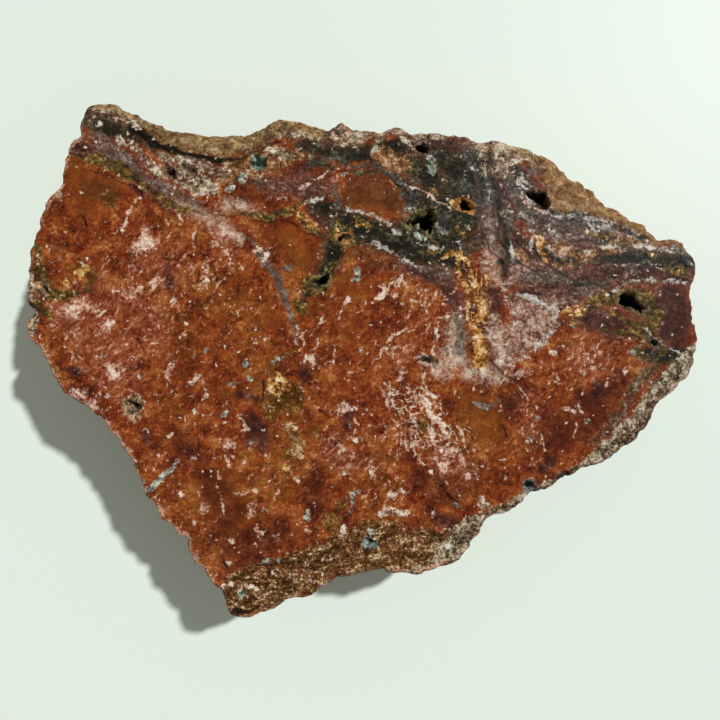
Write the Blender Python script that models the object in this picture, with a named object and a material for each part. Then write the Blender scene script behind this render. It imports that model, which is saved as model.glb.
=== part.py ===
"""Rough jasper slab, one piece of stone, lying on its lower sawn face.

The upper and lower faces are sawn flat. The rim is the stone's own broken and weathered skin:
it slopes away from the upper face, bulges and steps on the way down, and is chipped at the base.
Open vugs and small pores go down into the stone from the upper face.
"""

import math
import random

import bmesh
import bpy
from mathutils import Vector, noise

# Driving dimensions, in millimetres. The slab is 152 across and 116 from front to back.
MM = 0.001
THICKNESS = 21.0
# The corners of the rim are as they look from this far above the middle of the sawn face, from where
# what lies lower looks smaller.
VIEW_HEIGHT = 112.5

# The rim from above.
RIM_STEP = 1.7        # longest straight run along it
RIM_JAG = 0.44        # how far the points between two of its corners stray
JAG_SIZE = 1.1
RIM_REACH = 4         # neighbours each way that set the direction in which it faces
SKIN_BLEND = 5        # neighbours each way over which the width of the skin changes
SKIN_ROUGH = 0.22     # how far the middle of the skin strays, as a share of its width
SKIN_ROUGH_SIZE = 2.3

# The rim's wall, from the skin down to the base.
WALL_EASE = 6         # neighbours each way over which the outline is rounded off towards the base
EASE_RATE = 1.5       # how soon on the way down it is rounded off
RUN_IN_CURVE = 1.4    # above 1, the wall runs in under the slab faster near the base
LUMP_SIZE = 8.5       # bulges and dents
LUMP_DEPTH = 5.4
CHIP_SIZE = 3.6       # smaller breaks
CHIP_DEPTH = 2.2
WALL_GRAIN = 1.7      # how much quicker the relief changes down the wall than along it
LEDGE_HEIGHT = 7.5    # steps down the wall
LEDGE_DEPTH = 1.8
LEDGE_DRIFT = 2.0     # how far the steps rise and fall along the wall, in steps
LEDGE_DRIFT_SIZE = 14.0
LINE_WANDER = 2.6     # how far the lines round the wall rise and fall
STAND_OUT = 1.0       # the furthest that a bulge stands out past the rim's outermost line
BASE_CHIP = 0.7       # how far the lowest edge is broken back
BASE_CHIP_HEIGHT = 0.8

# Layers of noise, one for each kind of unevenness, so that they don't repeat each other.
JAG_LAYER, SKIN_LAYER, LEDGE_LAYER, WANDER_LAYER, FOOT_LAYER = 3.3, 4.8, 6.2, 7.6, 9.4
CHIP_SHIFT = Vector((7.0, 2.0, 5.0))

# The rim seen from above, clockwise from the back left tip. Each stretch has its name, the width of
# natural skin that slopes outside the sawn face there, how far the rim runs in under the slab
# by the time it reaches the base, and its corners (x to the right, y to the back).
RIM = [
    ("back left tip", 1.1, 1.5, [
        (-62.6, 55.3), (-61.8, 56.4), (-60.1, 57.4), (-58.4, 57.6), (-55.5, 57.0), (-53.2, 56.0),
        (-50.6, 55.1), (-48.0, 53.6), (-44.8, 52.8), (-43.9, 52.0)]),
    ("tan skin at the back", 3.9, 0.5, [
        (-38.7, 50.9), (-32.0, 49.7), (-29.0, 50.1), (-26.0, 49.6)]),
    ("tan lumps", 4.2, 1.0, [
        (-23.5, 50.5), (-22.0, 51.4), (-21.3, 52.9), (-18.7, 53.8), (-16.1, 53.3), (-14.2, 53.4),
        (-11.9, 52.5), (-9.7, 51.1)]),
    ("dark knob", 1.8, 1.5, [
        (-7.5, 51.1), (-6.7, 52.5), (-4.9, 53.3), (-3.4, 52.5), (-2.3, 51.4)]),
    ("back middle", 1.6, 2.5, [
        (0.7, 51.6), (4.5, 51.1), (5.9, 51.8), (7.8, 52.0), (9.7, 51.6), (11.2, 50.8),
        (13.4, 50.5), (16.4, 50.8), (19.8, 50.2), (23.2, 49.9)]),
    ("grainy crust", 3.5, 2.0, [
        (25.4, 48.6), (27.5, 49.1), (31.0, 49.2), (34.0, 48.2), (37.0, 47.1), (39.6, 45.8),
        (42.6, 44.3), (44.8, 42.0)]),
    ("orange skin", 7.0, 0.5, [
        (46.1, 40.5), (48.2, 39.9), (49.9, 38.7), (51.7, 37.9), (53.2, 35.5)]),
    ("orange skin, thinning", 3.2, 1.0, [
        (55.1, 34.2), (58.5, 32.7), (60.3, 31.4), (62.4, 30.8), (63.9, 29.3)]),
    ("layered corner", 1.6, 2.0, [
        (66.3, 27.1), (68.9, 27.2), (71.5, 26.5), (73.0, 24.5), (74.5, 23.0), (74.8, 19.4)]),
    ("right side", 0.6, 3.0, [
        (73.9, 17.1), (73.7, 13.3), (74.3, 8.8), (75.2, 4.9), (74.9, 2.7), (74.0, 0.2),
        (73.4, -2.5)]),
    ("porous skin", 1.7, 1.5, [
        (71.0, -4.6), (71.2, -5.2), (68.4, -7.2), (66.7, -8.5), (65.2, -10.6), (65.0, -12.4),
        (62.4, -15.8), (59.8, -18.4), (57.2, -20.5), (54.2, -22.5), (50.9, -23.6)]),
    ("front right", 1.4, 2.0, [
        (48.8, -24.2), (46.4, -25.5), (44.3, -26.7), (40.9, -28.6), (38.4, -29.2), (36.2, -30.3),
        (34.3, -32.6), (32.6, -33.6), (28.9, -34.4), (27.2, -35.3)]),
    ("front lobe", 1.2, 1.5, [
        (26.6, -36.5), (26.0, -38.6), (23.9, -40.5), (23.8, -42.1), (21.4, -44.4),
        (18.5, -45.7), (16.0, -46.8), (11.4, -47.7), (6.4, -47.7)]),
    ("front hollow", 0.5, 3.5, [
        (5.0, -46.4), (1.1, -46.9), (-3.3, -48.3), (-5.5, -48.4), (-7.4, -49.8)]),
    ("front left edge", 1.0, 1.5, [
        (-10.3, -51.6), (-12.6, -52.8), (-16.9, -53.5), (-20.4, -55.4), (-23.7, -57.2)]),
    ("front left tip", 0.8, 1.0, [
        (-28.6, -57.6), (-29.9, -56.7), (-30.4, -54.6), (-31.0, -51.9)]),
    ("left edge, lower", 0.5, 3.0, [
        (-33.3, -49.9), (-34.9, -48.0), (-36.1, -45.9), (-37.4, -45.5), (-38.4, -43.7),
        (-39.4, -39.8), (-41.9, -38.1), (-44.6, -35.6), (-46.5, -32.3), (-48.8, -29.4),
        (-50.0, -25.9), (-51.0, -23.6)]),
    ("left edge, chipped", 0.7, 3.5, [
        (-52.7, -21.4), (-53.7, -19.5), (-54.7, -17.5), (-56.6, -16.0), (-57.5, -14.0),
        (-59.2, -11.8), (-61.3, -10.2), (-64.4, -9.0), (-66.4, -7.1), (-68.2, -5.4),
        (-69.5, -3.3), (-70.9, 0.1), (-72.1, 2.5), (-73.5, 3.9)]),
    ("left corner", 0.8, 2.5, [
        (-75.1, 5.4), (-75.2, 7.4), (-75.1, 9.2), (-73.8, 10.6), (-73.8, 11.6), (-74.9, 12.8),
        (-75.1, 14.6), (-74.5, 17.7), (-74.8, 21.5), (-74.6, 25.1)]),
    ("left edge, upper", 0.6, 2.0, [
        (-73.1, 26.8), (-73.4, 28.1), (-72.5, 31.1), (-71.3, 34.2), (-70.2, 36.7), (-68.9, 38.0),
        (-67.8, 39.6), (-66.8, 42.6), (-66.5, 44.9), (-66.1, 47.3), (-65.2, 49.2), (-63.5, 50.3),
        (-62.9, 53.1)]),
]

# How far down the skin drops for each millimetre that it is wide, and the share of its width and
# drop at which the line between the sawn edge and the outermost line of the rim runs.
SKIN_SLOPE = 0.55
SKIN_BRINK = 0.25
SKIN_MIDDLE = (0.5, 0.3)
# Heights of the lines that run round the rim below its outermost line, as shares of the thickness.
RIM_LINES = (0.80, 0.68, 0.55, 0.42, 0.29, 0.16)

# Open vugs: name, depth, and the outline of the mouth on the sawn face.
VUGS = [
    ("comma", 6.0, [
        (-45.0, 44.7), (-44.3, 44.1), (-43.5, 43.2), (-42.6, 42.8), (-41.5, 43.0), (-41.3, 42.3),
        (-42.0, 41.5), (-42.8, 41.3), (-43.7, 41.9), (-44.1, 42.8), (-44.8, 43.7)]),
    ("beside the comma", 5.0, [
        (-40.3, 43.9), (-38.7, 43.7), (-37.6, 43.2), (-37.2, 42.3), (-37.7, 41.7), (-38.5, 42.1),
        (-39.1, 43.0), (-40.0, 43.4)]),
    ("back", 6.0, [
        (11.5, 48.0), (12.3, 48.9), (13.8, 48.8), (14.7, 48.2), (15.7, 47.9), (16.8, 46.9),
        (16.4, 46.4), (15.5, 46.9), (14.5, 46.8), (13.4, 47.1), (11.9, 47.5)]),
    ("horned", 9.0, [
        (10.1, 31.3), (11.0, 31.9), (12.3, 32.6), (13.6, 33.0), (14.5, 33.8), (15.8, 34.3),
        (17.5, 34.0), (16.4, 33.4), (16.6, 32.5), (16.4, 31.0), (16.1, 29.1), (15.5, 28.2),
        (14.5, 28.7), (13.8, 29.5), (13.1, 29.3), (12.7, 30.8), (12.4, 31.2), (11.9, 30.8),
        (11.5, 29.9), (10.8, 29.6), (10.3, 30.0)]),
    ("ragged slot", 6.0, [
        (-5.4, 28.4), (-4.6, 28.7), (-3.7, 28.2), (-2.9, 28.6), (-1.8, 28.8), (-1.4, 28.2),
        (-1.8, 27.5), (-2.9, 27.5), (-4.1, 27.3), (-4.8, 26.8), (-5.9, 27.3), (-5.2, 27.7)]),
    ("under the slot", 4.0, [
        (-5.7, 25.5), (-5.1, 25.3), (-5.1, 24.2), (-5.5, 23.6), (-5.9, 24.2), (-5.9, 25.0)]),
    ("heart", 5.0, [
        (-12.4, 18.8), (-11.2, 18.4), (-10.6, 18.0), (-9.7, 19.0), (-8.6, 19.2), (-7.7, 19.6),
        (-7.5, 18.6), (-7.9, 17.3), (-8.7, 17.8), (-9.3, 16.9), (-10.6, 17.3), (-11.2, 16.9),
        (-11.5, 18.0)]),
    ("back right", 8.0, [
        (36.4, 38.5), (38.3, 38.4), (39.2, 37.9), (40.5, 38.1), (41.3, 37.7), (42.4, 36.4),
        (42.6, 34.7), (41.5, 33.8), (40.3, 34.2), (39.2, 35.1), (38.3, 36.2), (37.0, 37.2)]),
    ("amber", 6.0, [
        (21.3, 35.9), (22.2, 36.3), (22.9, 36.4), (23.9, 35.4), (24.9, 34.7), (24.1, 33.6),
        (22.7, 34.3), (21.8, 34.9)]),
    ("sliver", 4.0, [
        (40.7, 24.7), (41.8, 24.3), (43.0, 23.8), (44.9, 23.0), (44.6, 22.5), (43.0, 22.8),
        (41.5, 23.5)]),
    ("right", 9.0, [
        (57.3, 14.5), (58.5, 14.9), (59.5, 15.6), (60.5, 15.4), (60.9, 14.3), (61.9, 13.7),
        (62.5, 13.0), (63.3, 12.9), (64.0, 11.9), (63.3, 11.5), (62.3, 11.0), (61.3, 11.1),
        (60.3, 11.7), (59.5, 12.5), (58.5, 12.6), (57.9, 13.5)]),
    ("leaning", 7.0, [
        (63.5, 6.1), (64.0, 6.3), (64.8, 5.6), (65.5, 5.2), (65.9, 4.5), (66.5, 3.5),
        (66.6, 3.0), (65.7, 3.2), (65.3, 3.0), (64.8, 3.6), (64.6, 4.3), (63.7, 5.2)]),
    ("white lipped", 2.0, [
        (11.9, -0.1), (13.2, 0.5), (14.8, 0.7), (16.0, -0.1), (16.4, -1.3), (15.8, -1.6),
        (14.8, -0.7), (13.2, -0.5)]),
]

# Rounded hollows: name, centre x and y, length, width, turn in degrees, depth.
HOLLOWS = [
    ("green pocket", -23.3, 44.6, 4.8, 3.7, -10, 1.8),
    ("cream pocket", -51.6, -10.7, 5.2, 4.2, 100, 2.2),
    ("left pocket", -71.7, 16.0, 3.6, 1.8, -60, 2.2),
    ("front right eye", 37.6, -28.1, 2.7, 2.6, 0, 2.6),
    ("front right slot", 44.7, -25.6, 2.4, 1.1, 30, 2.4),
    ("front right nick", 50.0, -23.1, 2.2, 1.1, 20, 2.4),
    ("green bead pit", 1.4, -41.1, 2.4, 2.0, -40, 2.0),
    ("bead pit beside it", -7.7, -43.0, 1.4, 1.1, 0, 1.4),
    ("crack by the comma", -34.8, 43.1, 2.4, 0.8, -25, 1.4),
    ("slit", -13.6, 12.4, 1.9, 0.7, 65, 1.6),
    ("dot by the grey vein", -17.4, 18.6, 1.0, 0.9, 0, 1.6),
    ("grey ringed dot", -15.8, 20.4, 0.9, 0.9, 0, 1.2),
    ("left nick", -50.2, -22.0, 2.0, 1.0, 20, 2.0),
    ("ring left", 64.2, -6.6, 1.0, 2.0, 15, 1.6),
    ("ring right", 65.8, -6.4, 1.0, 2.6, -20, 1.8),
]
HOLLOW_SIDES = 8

# Pores of the skin: centre x and y of each patch, its half length, half width, turn, and how many.
PORE_PATCHES = [
    (63.0, -9.0, 6.0, 2.2, 58, 9),
    (57.5, -17.0, 6.5, 1.4, 45, 6),
    (19.5, -40.5, 5.0, 3.6, 50, 9),
    (-17.0, 50.0, 6.5, 1.8, 0, 7),
]
PORE_RADIUS = (0.35, 0.62)
PORE_DEPTH = (0.9, 1.6)
PORE_SIDES = 5
PORE_GAP = 0.5

# Shape of a vug below its mouth: (share of the depth, size as a share of the mouth).
VUG_LEVELS = [(0.0, 1.0), (0.3, 1.12), (0.7, 0.86), (1.0, 0.4)]
HOLLOW_LEVELS = [(0.0, 1.0), (0.55, 0.85), (1.0, 0.4)]
PORE_LEVELS = [(0.0, 1.0), (1.0, 0.5)]
MOUTH_RISE = 0.8      # how far a cutter stands above the sawn face
WALL_STRAY = 0.16     # how far a vug's wall strays, as a share of its size
FLOOR_SIZE = 0.1      # size of a vug's lowest point, and how much deeper it is, as shares of the mouth
MOUTH_STRETCH = (0.86, 1.1)
PORE_TRIES = 400
CAVITY_SEED = 41


def clear_scene():
    for old in list(bpy.data.objects):
        bpy.data.objects.remove(old)


def stone_material():
    material = bpy.data.materials.new("jasper")
    material.use_nodes = True
    shader = material.node_tree.nodes["Principled BSDF"]
    shader.inputs["Base Color"].default_value = (0.24, 0.055, 0.018, 1.0)
    shader.inputs["Roughness"].default_value = 0.38
    shader.inputs["Metallic"].default_value = 0.0
    return material


def rim_corners():
    """Every corner of the rim as (point, skin width, run under the slab)."""
    return [(Vector(corner), skin, under) for _, skin, under, corners in RIM for corner in corners]


def uneven(place, size, layer):
    """Smooth noise over the slab, mostly between -0.5 and 0.5, with bumps of a size in millimetres."""
    return noise.noise((place.x / size, place.y / size, layer))


def divided_rim():
    """The rim with its long runs divided. The added points stray a little, so that no run is straight."""
    corners = rim_corners()
    points = []
    for (start, skin, under), (end, _, _) in zip(corners, corners[1:] + corners[:1]):
        run = end - start
        parts = max(1, round(run.length / RIM_STEP))
        across = Vector((-run.y, run.x)).normalized()
        for part in range(parts):
            place = start + run * (part / parts)
            if part:
                place += across * RIM_JAG * uneven(place, JAG_SIZE, JAG_LAYER)
            points.append((place, skin, under))
    return points


def blended(values, reach):
    """Each value becomes the mean of its neighbours round the closed rim."""
    count = len(values)
    window = range(-reach, reach + 1)
    return [sum(values[(i + k) % count] for k in window) / len(window) for i in range(count)]


def eased_outline(points):
    """The outline with its small corners rounded off."""
    across = blended([place.x for place in points], WALL_EASE)
    back = blended([place.y for place in points], WALL_EASE)
    return [Vector(pair) for pair in zip(across, back)]


def outward_directions(points, reach):
    """The way the rim faces at each point, smoothed. The rim runs clockwise, so out is to the left."""
    count = len(points)
    directions = []
    for i in range(count):
        along = points[(i + reach) % count] - points[(i - reach) % count]
        directions.append(Vector((-along.y, along.x)).normalized())
    return directions


def wall_bulge(place, height):
    """How far the rim stands out at a place on it: bulges, small breaks and steps."""
    spot = Vector((place.x, place.y, height * WALL_GRAIN))
    bulge = LUMP_DEPTH * noise.noise(spot / LUMP_SIZE)
    chip = CHIP_DEPTH * noise.noise(spot / CHIP_SIZE + CHIP_SHIFT)
    drift = LEDGE_DRIFT * uneven(place, LEDGE_DRIFT_SIZE, LEDGE_LAYER)
    step = (height / LEDGE_HEIGHT + drift) % 1.0
    return bulge + chip + LEDGE_DEPTH * (0.5 - step)


def wall_line(share, outline, eased, out, unders):
    """One line round the rim below its outermost line. It is eased more, and runs in more, lower down."""
    down = 1.0 - share
    line = []
    for place, smooth, away, under in zip(outline, eased, out, unders):
        height = share * THICKNESS + LINE_WANDER * uneven(place, LUMP_SIZE, WANDER_LAYER)
        inward = under * down ** RUN_IN_CURVE
        bulge = min(wall_bulge(place, height), STAND_OUT + inward)
        line.append((place.lerp(smooth, min(1.0, EASE_RATE * down)) + away * (bulge - inward), height))
    return line


def base_line(height, broken_back, eased, out, unders):
    """A line round the foot of the rim, chipped back by about broken_back."""
    line = []
    for place, away, under in zip(eased, out, unders):
        ragged = broken_back * (0.5 + abs(uneven(place, CHIP_SIZE, FOOT_LAYER)))
        bulge = min(wall_bulge(place, BASE_CHIP_HEIGHT), 0.0)
        line.append((place - away * (under - bulge + ragged), height))
    return line


def rim_lines():
    """Closed lines of points from the sawn face's edge down to the base, all with the same count."""
    rim = divided_rim()
    points = [place for place, _, _ in rim]
    skins = blended([skin for _, skin, _ in rim], SKIN_BLEND)
    unders = blended([under for _, _, under in rim], SKIN_BLEND)
    out = outward_directions(points, RIM_REACH)

    sawn, middle, outermost = [], [], []
    for place, skin, away in zip(points, skins, out):
        drop = SKIN_BRINK + SKIN_SLOPE * skin
        edge = place - away * skin
        brow = place * (1.0 + drop / VIEW_HEIGHT)
        rough = skin * SKIN_ROUGH * uneven(place, SKIN_ROUGH_SIZE, SKIN_LAYER)
        share, fall = SKIN_MIDDLE
        sawn.append((edge, THICKNESS))
        middle.append((brow.lerp(edge, share) - away * rough, THICKNESS - drop * fall - abs(rough) / 2))
        outermost.append((brow, THICKNESS - drop))

    outline = [place for place, _ in outermost]
    eased = eased_outline(outline)
    lines = [sawn, middle, outermost]
    lines += [wall_line(share, outline, eased, out, unders) for share in RIM_LINES]
    lines.append(base_line(BASE_CHIP_HEIGHT, 0.0, eased, out, unders))
    lines.append(base_line(0.0, BASE_CHIP, eased, out, unders))
    return lines


def make_stone():
    """The uncut stone: the lines of the rim bridged into a wall, closed by the two sawn faces."""
    mesh = bpy.data.meshes.new("jasper_slab")
    build = bmesh.new()
    rows = []
    for line in rim_lines():
        rows.append([build.verts.new((p.x * MM, p.y * MM, z * MM)) for p, z in line])
    count = len(rows[0])
    for upper, lower in zip(rows, rows[1:]):
        for i in range(count):
            j = (i + 1) % count
            build.faces.new((upper[i], upper[j], lower[j], lower[i]))
    build.faces.new(rows[0])
    build.faces.new(rows[-1])
    bmesh.ops.recalc_face_normals(build, faces=build.faces)
    build.to_mesh(mesh)
    build.free()
    stone = bpy.data.objects.new("jasper_slab", mesh)
    bpy.context.scene.collection.objects.link(stone)
    return stone


def round_mouth(x, y, long, wide, turn, sides, draw):
    """A ragged oval of points round a centre."""
    cos_turn, sin_turn = math.cos(math.radians(turn)), math.sin(math.radians(turn))
    mouth = []
    for k in range(sides):
        angle = 2 * math.pi * k / sides
        stretch = draw.uniform(*MOUTH_STRETCH) / 2
        u = math.cos(angle) * long * stretch
        v = math.sin(angle) * wide * stretch
        mouth.append((x + u * cos_turn - v * sin_turn, y + u * sin_turn + v * cos_turn))
    return mouth


def add_cutter(build, mouth, depth, levels, draw):
    """A closed plug of the shape of one cavity: straight above the sawn face, ragged below it."""
    centre = sum((Vector(p) for p in mouth), Vector((0.0, 0.0))) / len(mouth)
    floor = THICKNESS - depth - FLOOR_SIZE * max((Vector(p) - centre).length for p in mouth)
    rows = [[(Vector(p), THICKNESS + MOUTH_RISE) for p in mouth]]
    for share, size in levels:
        row = []
        for p in mouth:
            stray = 0.0 if share == 0.0 else draw.uniform(-1, 1) * WALL_STRAY
            place = centre + (Vector(p) - centre) * (size + stray)
            row.append((place, THICKNESS - share * depth))
        rows.append(row)
    rows.append([(centre + (Vector(p) - centre) * FLOOR_SIZE, floor) for p in mouth])
    made = [[build.verts.new((p.x * MM, p.y * MM, z * MM)) for p, z in row] for row in rows]
    count = len(mouth)
    for upper, lower in zip(made, made[1:]):
        for i in range(count):
            j = (i + 1) % count
            build.faces.new((upper[i], upper[j], lower[j], lower[i]))
    build.faces.new(made[0])
    build.faces.new(made[-1])


def pore_places(draw):
    """Centres and radii of the pores, strewn over their patches with a gap between them."""
    pores = []
    for x, y, half_long, half_wide, turn, wanted in PORE_PATCHES:
        cos_turn, sin_turn = math.cos(math.radians(turn)), math.sin(math.radians(turn))
        placed = 0
        for _ in range(PORE_TRIES):
            if placed == wanted:
                break
            u, v = draw.uniform(-half_long, half_long), draw.uniform(-half_wide, half_wide)
            radius = draw.uniform(*PORE_RADIUS)
            centre = Vector((x + u * cos_turn - v * sin_turn, y + u * sin_turn + v * cos_turn))
            others = pores + [(Vector((h[1], h[2])), max(h[3], h[4]) / 2) for h in HOLLOWS]
            if all((centre - c).length > radius + r + PORE_GAP for c, r in others):
                pores.append((centre, radius))
                placed += 1
    return pores


def make_cavities():
    """One cutter that holds the vugs, the rounded hollows and the pores."""
    draw = random.Random(CAVITY_SEED)
    mesh = bpy.data.meshes.new("cavities")
    build = bmesh.new()
    for _, depth, mouth in VUGS:
        add_cutter(build, mouth, depth, VUG_LEVELS, draw)
    for _, x, y, long, wide, turn, depth in HOLLOWS:
        mouth = round_mouth(x, y, long, wide, turn, HOLLOW_SIDES, draw)
        add_cutter(build, mouth, depth, HOLLOW_LEVELS, draw)
    for centre, radius in pore_places(draw):
        mouth = round_mouth(centre.x, centre.y, 2 * radius, 2 * radius, 0, PORE_SIDES, draw)
        add_cutter(build, mouth, draw.uniform(*PORE_DEPTH), PORE_LEVELS, draw)
    bmesh.ops.recalc_face_normals(build, faces=build.faces)
    build.to_mesh(mesh)
    build.free()
    cutter = bpy.data.objects.new("cavities", mesh)
    bpy.context.scene.collection.objects.link(cutter)
    cutter.hide_render = True
    cutter.display_type = "WIRE"
    return cutter


def main():
    clear_scene()
    slab = make_stone()
    slab.data.materials.append(stone_material())
    cut = slab.modifiers.new("cavities", "BOOLEAN")
    cut.operation = "DIFFERENCE"
    cut.solver = "EXACT"
    cut.object = make_cavities()


main()
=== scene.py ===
"""Looks of the rough jasper slab, one piece of sawn stone.

The slab's solid is copied and given a fine, even mesh, a rougher rim and lined vugs. Every vein, band and
Every vein, band and patch of the stone is drawn here as a line that has a width. The mesh then carries, for
each kind of vein, how far inside it a point lies, and the material turns those depths into ragged, grainy
colour.
"""

import math
import random

import bpy
import numpy as np
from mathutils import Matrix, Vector, noise
from mathutils.kdtree import KDTree


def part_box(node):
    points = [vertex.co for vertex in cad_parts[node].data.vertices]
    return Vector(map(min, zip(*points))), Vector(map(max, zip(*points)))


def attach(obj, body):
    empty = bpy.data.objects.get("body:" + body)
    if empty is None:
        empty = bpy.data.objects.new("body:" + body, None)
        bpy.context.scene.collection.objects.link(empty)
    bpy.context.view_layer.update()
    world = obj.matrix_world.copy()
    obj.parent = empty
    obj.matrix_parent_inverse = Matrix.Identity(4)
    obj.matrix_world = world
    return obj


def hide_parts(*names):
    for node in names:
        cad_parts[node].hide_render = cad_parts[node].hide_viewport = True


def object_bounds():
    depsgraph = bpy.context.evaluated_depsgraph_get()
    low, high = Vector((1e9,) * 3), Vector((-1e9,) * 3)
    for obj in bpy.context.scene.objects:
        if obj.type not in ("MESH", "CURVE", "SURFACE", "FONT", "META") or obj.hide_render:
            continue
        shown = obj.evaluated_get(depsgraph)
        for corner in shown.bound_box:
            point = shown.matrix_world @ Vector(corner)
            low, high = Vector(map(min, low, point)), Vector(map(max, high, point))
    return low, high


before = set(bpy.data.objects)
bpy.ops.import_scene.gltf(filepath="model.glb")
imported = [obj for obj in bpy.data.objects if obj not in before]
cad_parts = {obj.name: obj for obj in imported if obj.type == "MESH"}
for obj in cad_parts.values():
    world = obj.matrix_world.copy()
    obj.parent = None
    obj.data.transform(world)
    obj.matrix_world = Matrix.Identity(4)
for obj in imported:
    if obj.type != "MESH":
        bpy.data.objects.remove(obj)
cad_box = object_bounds()

MM = 0.001
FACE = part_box("jasper_slab")[1].z / MM      # height of the upper sawn face, in millimetres

# Places on the sawn face are read from the photograph, in its 720 by 720 pixels.
PHOTO_SIZE = 720
PIXEL = 0.225                               # width of a pixel on the sawn face, in millimetres
ORIGIN_PIXEL = (362.6, 360.7)               # the pixel where the slab's middle lies

# The photograph was taken from straight above, close by and with a wide lens.
CAMERA_ABOVE_FACE = 112.5
CAMERA_NEAR = 10.0                          # anything closer than this isn't seen
SENSOR = 36.0
LENS = SENSOR * CAMERA_ABOVE_FACE / (PHOTO_SIZE * PIXEL)

# The key light comes from the back right, as the shadow in the photograph shows. The fill is even.
KEY_TOWARDS = (-0.866, -0.72, -1.0)
KEY_STRENGTH = 3.35
KEY_ANGLE = 3.0                             # how wide the light looks from the slab, in degrees
KEY_DISTANCE = 900.0
FILL_COLOUR = (1.0, 0.97, 0.87)
FILL_STRENGTH = 0.26

# The floor, in millimetres. It lies just below the slab.
FLOOR_SIZE = 4000.0
FLOOR_GAP = 0.02
FLOOR_COLOUR = (0.80, 0.89, 0.82)
FLOOR_ROUGHNESS = 0.6

# The mesh of the piece, in millimetres.
GRAIN = 0.57                                # distance between its points
TOUCHING = 0.001                            # points of the solid that are closer than this are one
FLAT = 0.06                                 # how far a point of a sawn face may lie from its plane
EDGE = 0.45                                 # height over which a sawn face gives way to the rim
STEEP = 6                                   # how soon a surface that leans counts as broken
RIM_BUMPS = [(2.6, 0.55), (1.1, 0.30)]      # size and depth of the small relief of the rim
VUG_BUMPS = [(1.3, 0.40), (0.7, 0.20)]
CRYSTAL_SIZE = (0.6, 1.4)                   # smallest and largest crystal in a vug
CRYSTAL_FORM = (0.55, 0.2, 1.5)             # radius of its foot and tip, and its length, for a size of 1
CRYSTAL_SIDES = 6
CRYSTAL_LEAN = 0.5                          # how far it may lean away from square to the wall
CRYSTAL_LIFT = 0.3                          # how far its middle stands off the wall, for a size of 1
CRYSTAL_COVER = 0.45                        # least space between it and the sawn face
CRYSTAL_DEPTHS = (0.9, 6.5)                 # depths between which they grow
CRYSTAL_SHARE = 0.35                        # share of the points of a vug's wall that carry one
CRYSTAL_SEED = 7
POCKET_DEPTHS = (0.3, 5.0)                  # depths between which a pocket opened by the rim is lined
RIM_SWELL = 0.28                            # how far the rim is moved out, as the even mesh rounds its edge
CHIP = 1.2                                  # width of the chipped edge of the sawn face
MOUTH_WAVES = [(1.5, 1.0), (0.7, 0.7)]      # size and reach of the unevenness of the vugs' mouths
MOUTH_REACH = 1.9                           # distance from a vug over which it fades out
LIP = 0.9                                   # width of the rim round a vug's mouth
UNDERSIDE_TRIANGLES = 8000
UNDERSIDE_WAVE = (2.2, 0.05)                # size and height of waves that spread its points evenly
UNDERSIDE_TURN = -0.99                      # its points face down at least as much as this
UNDERSIDE_PULL = 1000.0                     # how much sooner its points go than others
VEIN_DIP = (0.45, -0.6)                     # how far veins move to the right and back for each mm of depth
DIP_FROM = 4.0                              # depth at which they start to
VEIN_WARPS = [(2.4, 0.7), (1.1, 0.35)]      # size and reach of the bends added to every vein
NOISE_SEED = 1                              # for the bends, the relief and the vugs' mouths
FAR = 9.0                                   # depths below this are all the same, outside every vein
SHORT = 0.000001                            # the least length that a stretch of a line counts as
THIN = ("thread", "dark seam", "pale seam", "gold", "teal")     # kinds with lines finer than the mesh
THIN_REACH = 1.1                            # how far from its line such a vein may be met
TAPER = 1.5                                 # how fast it narrows past its end

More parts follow.
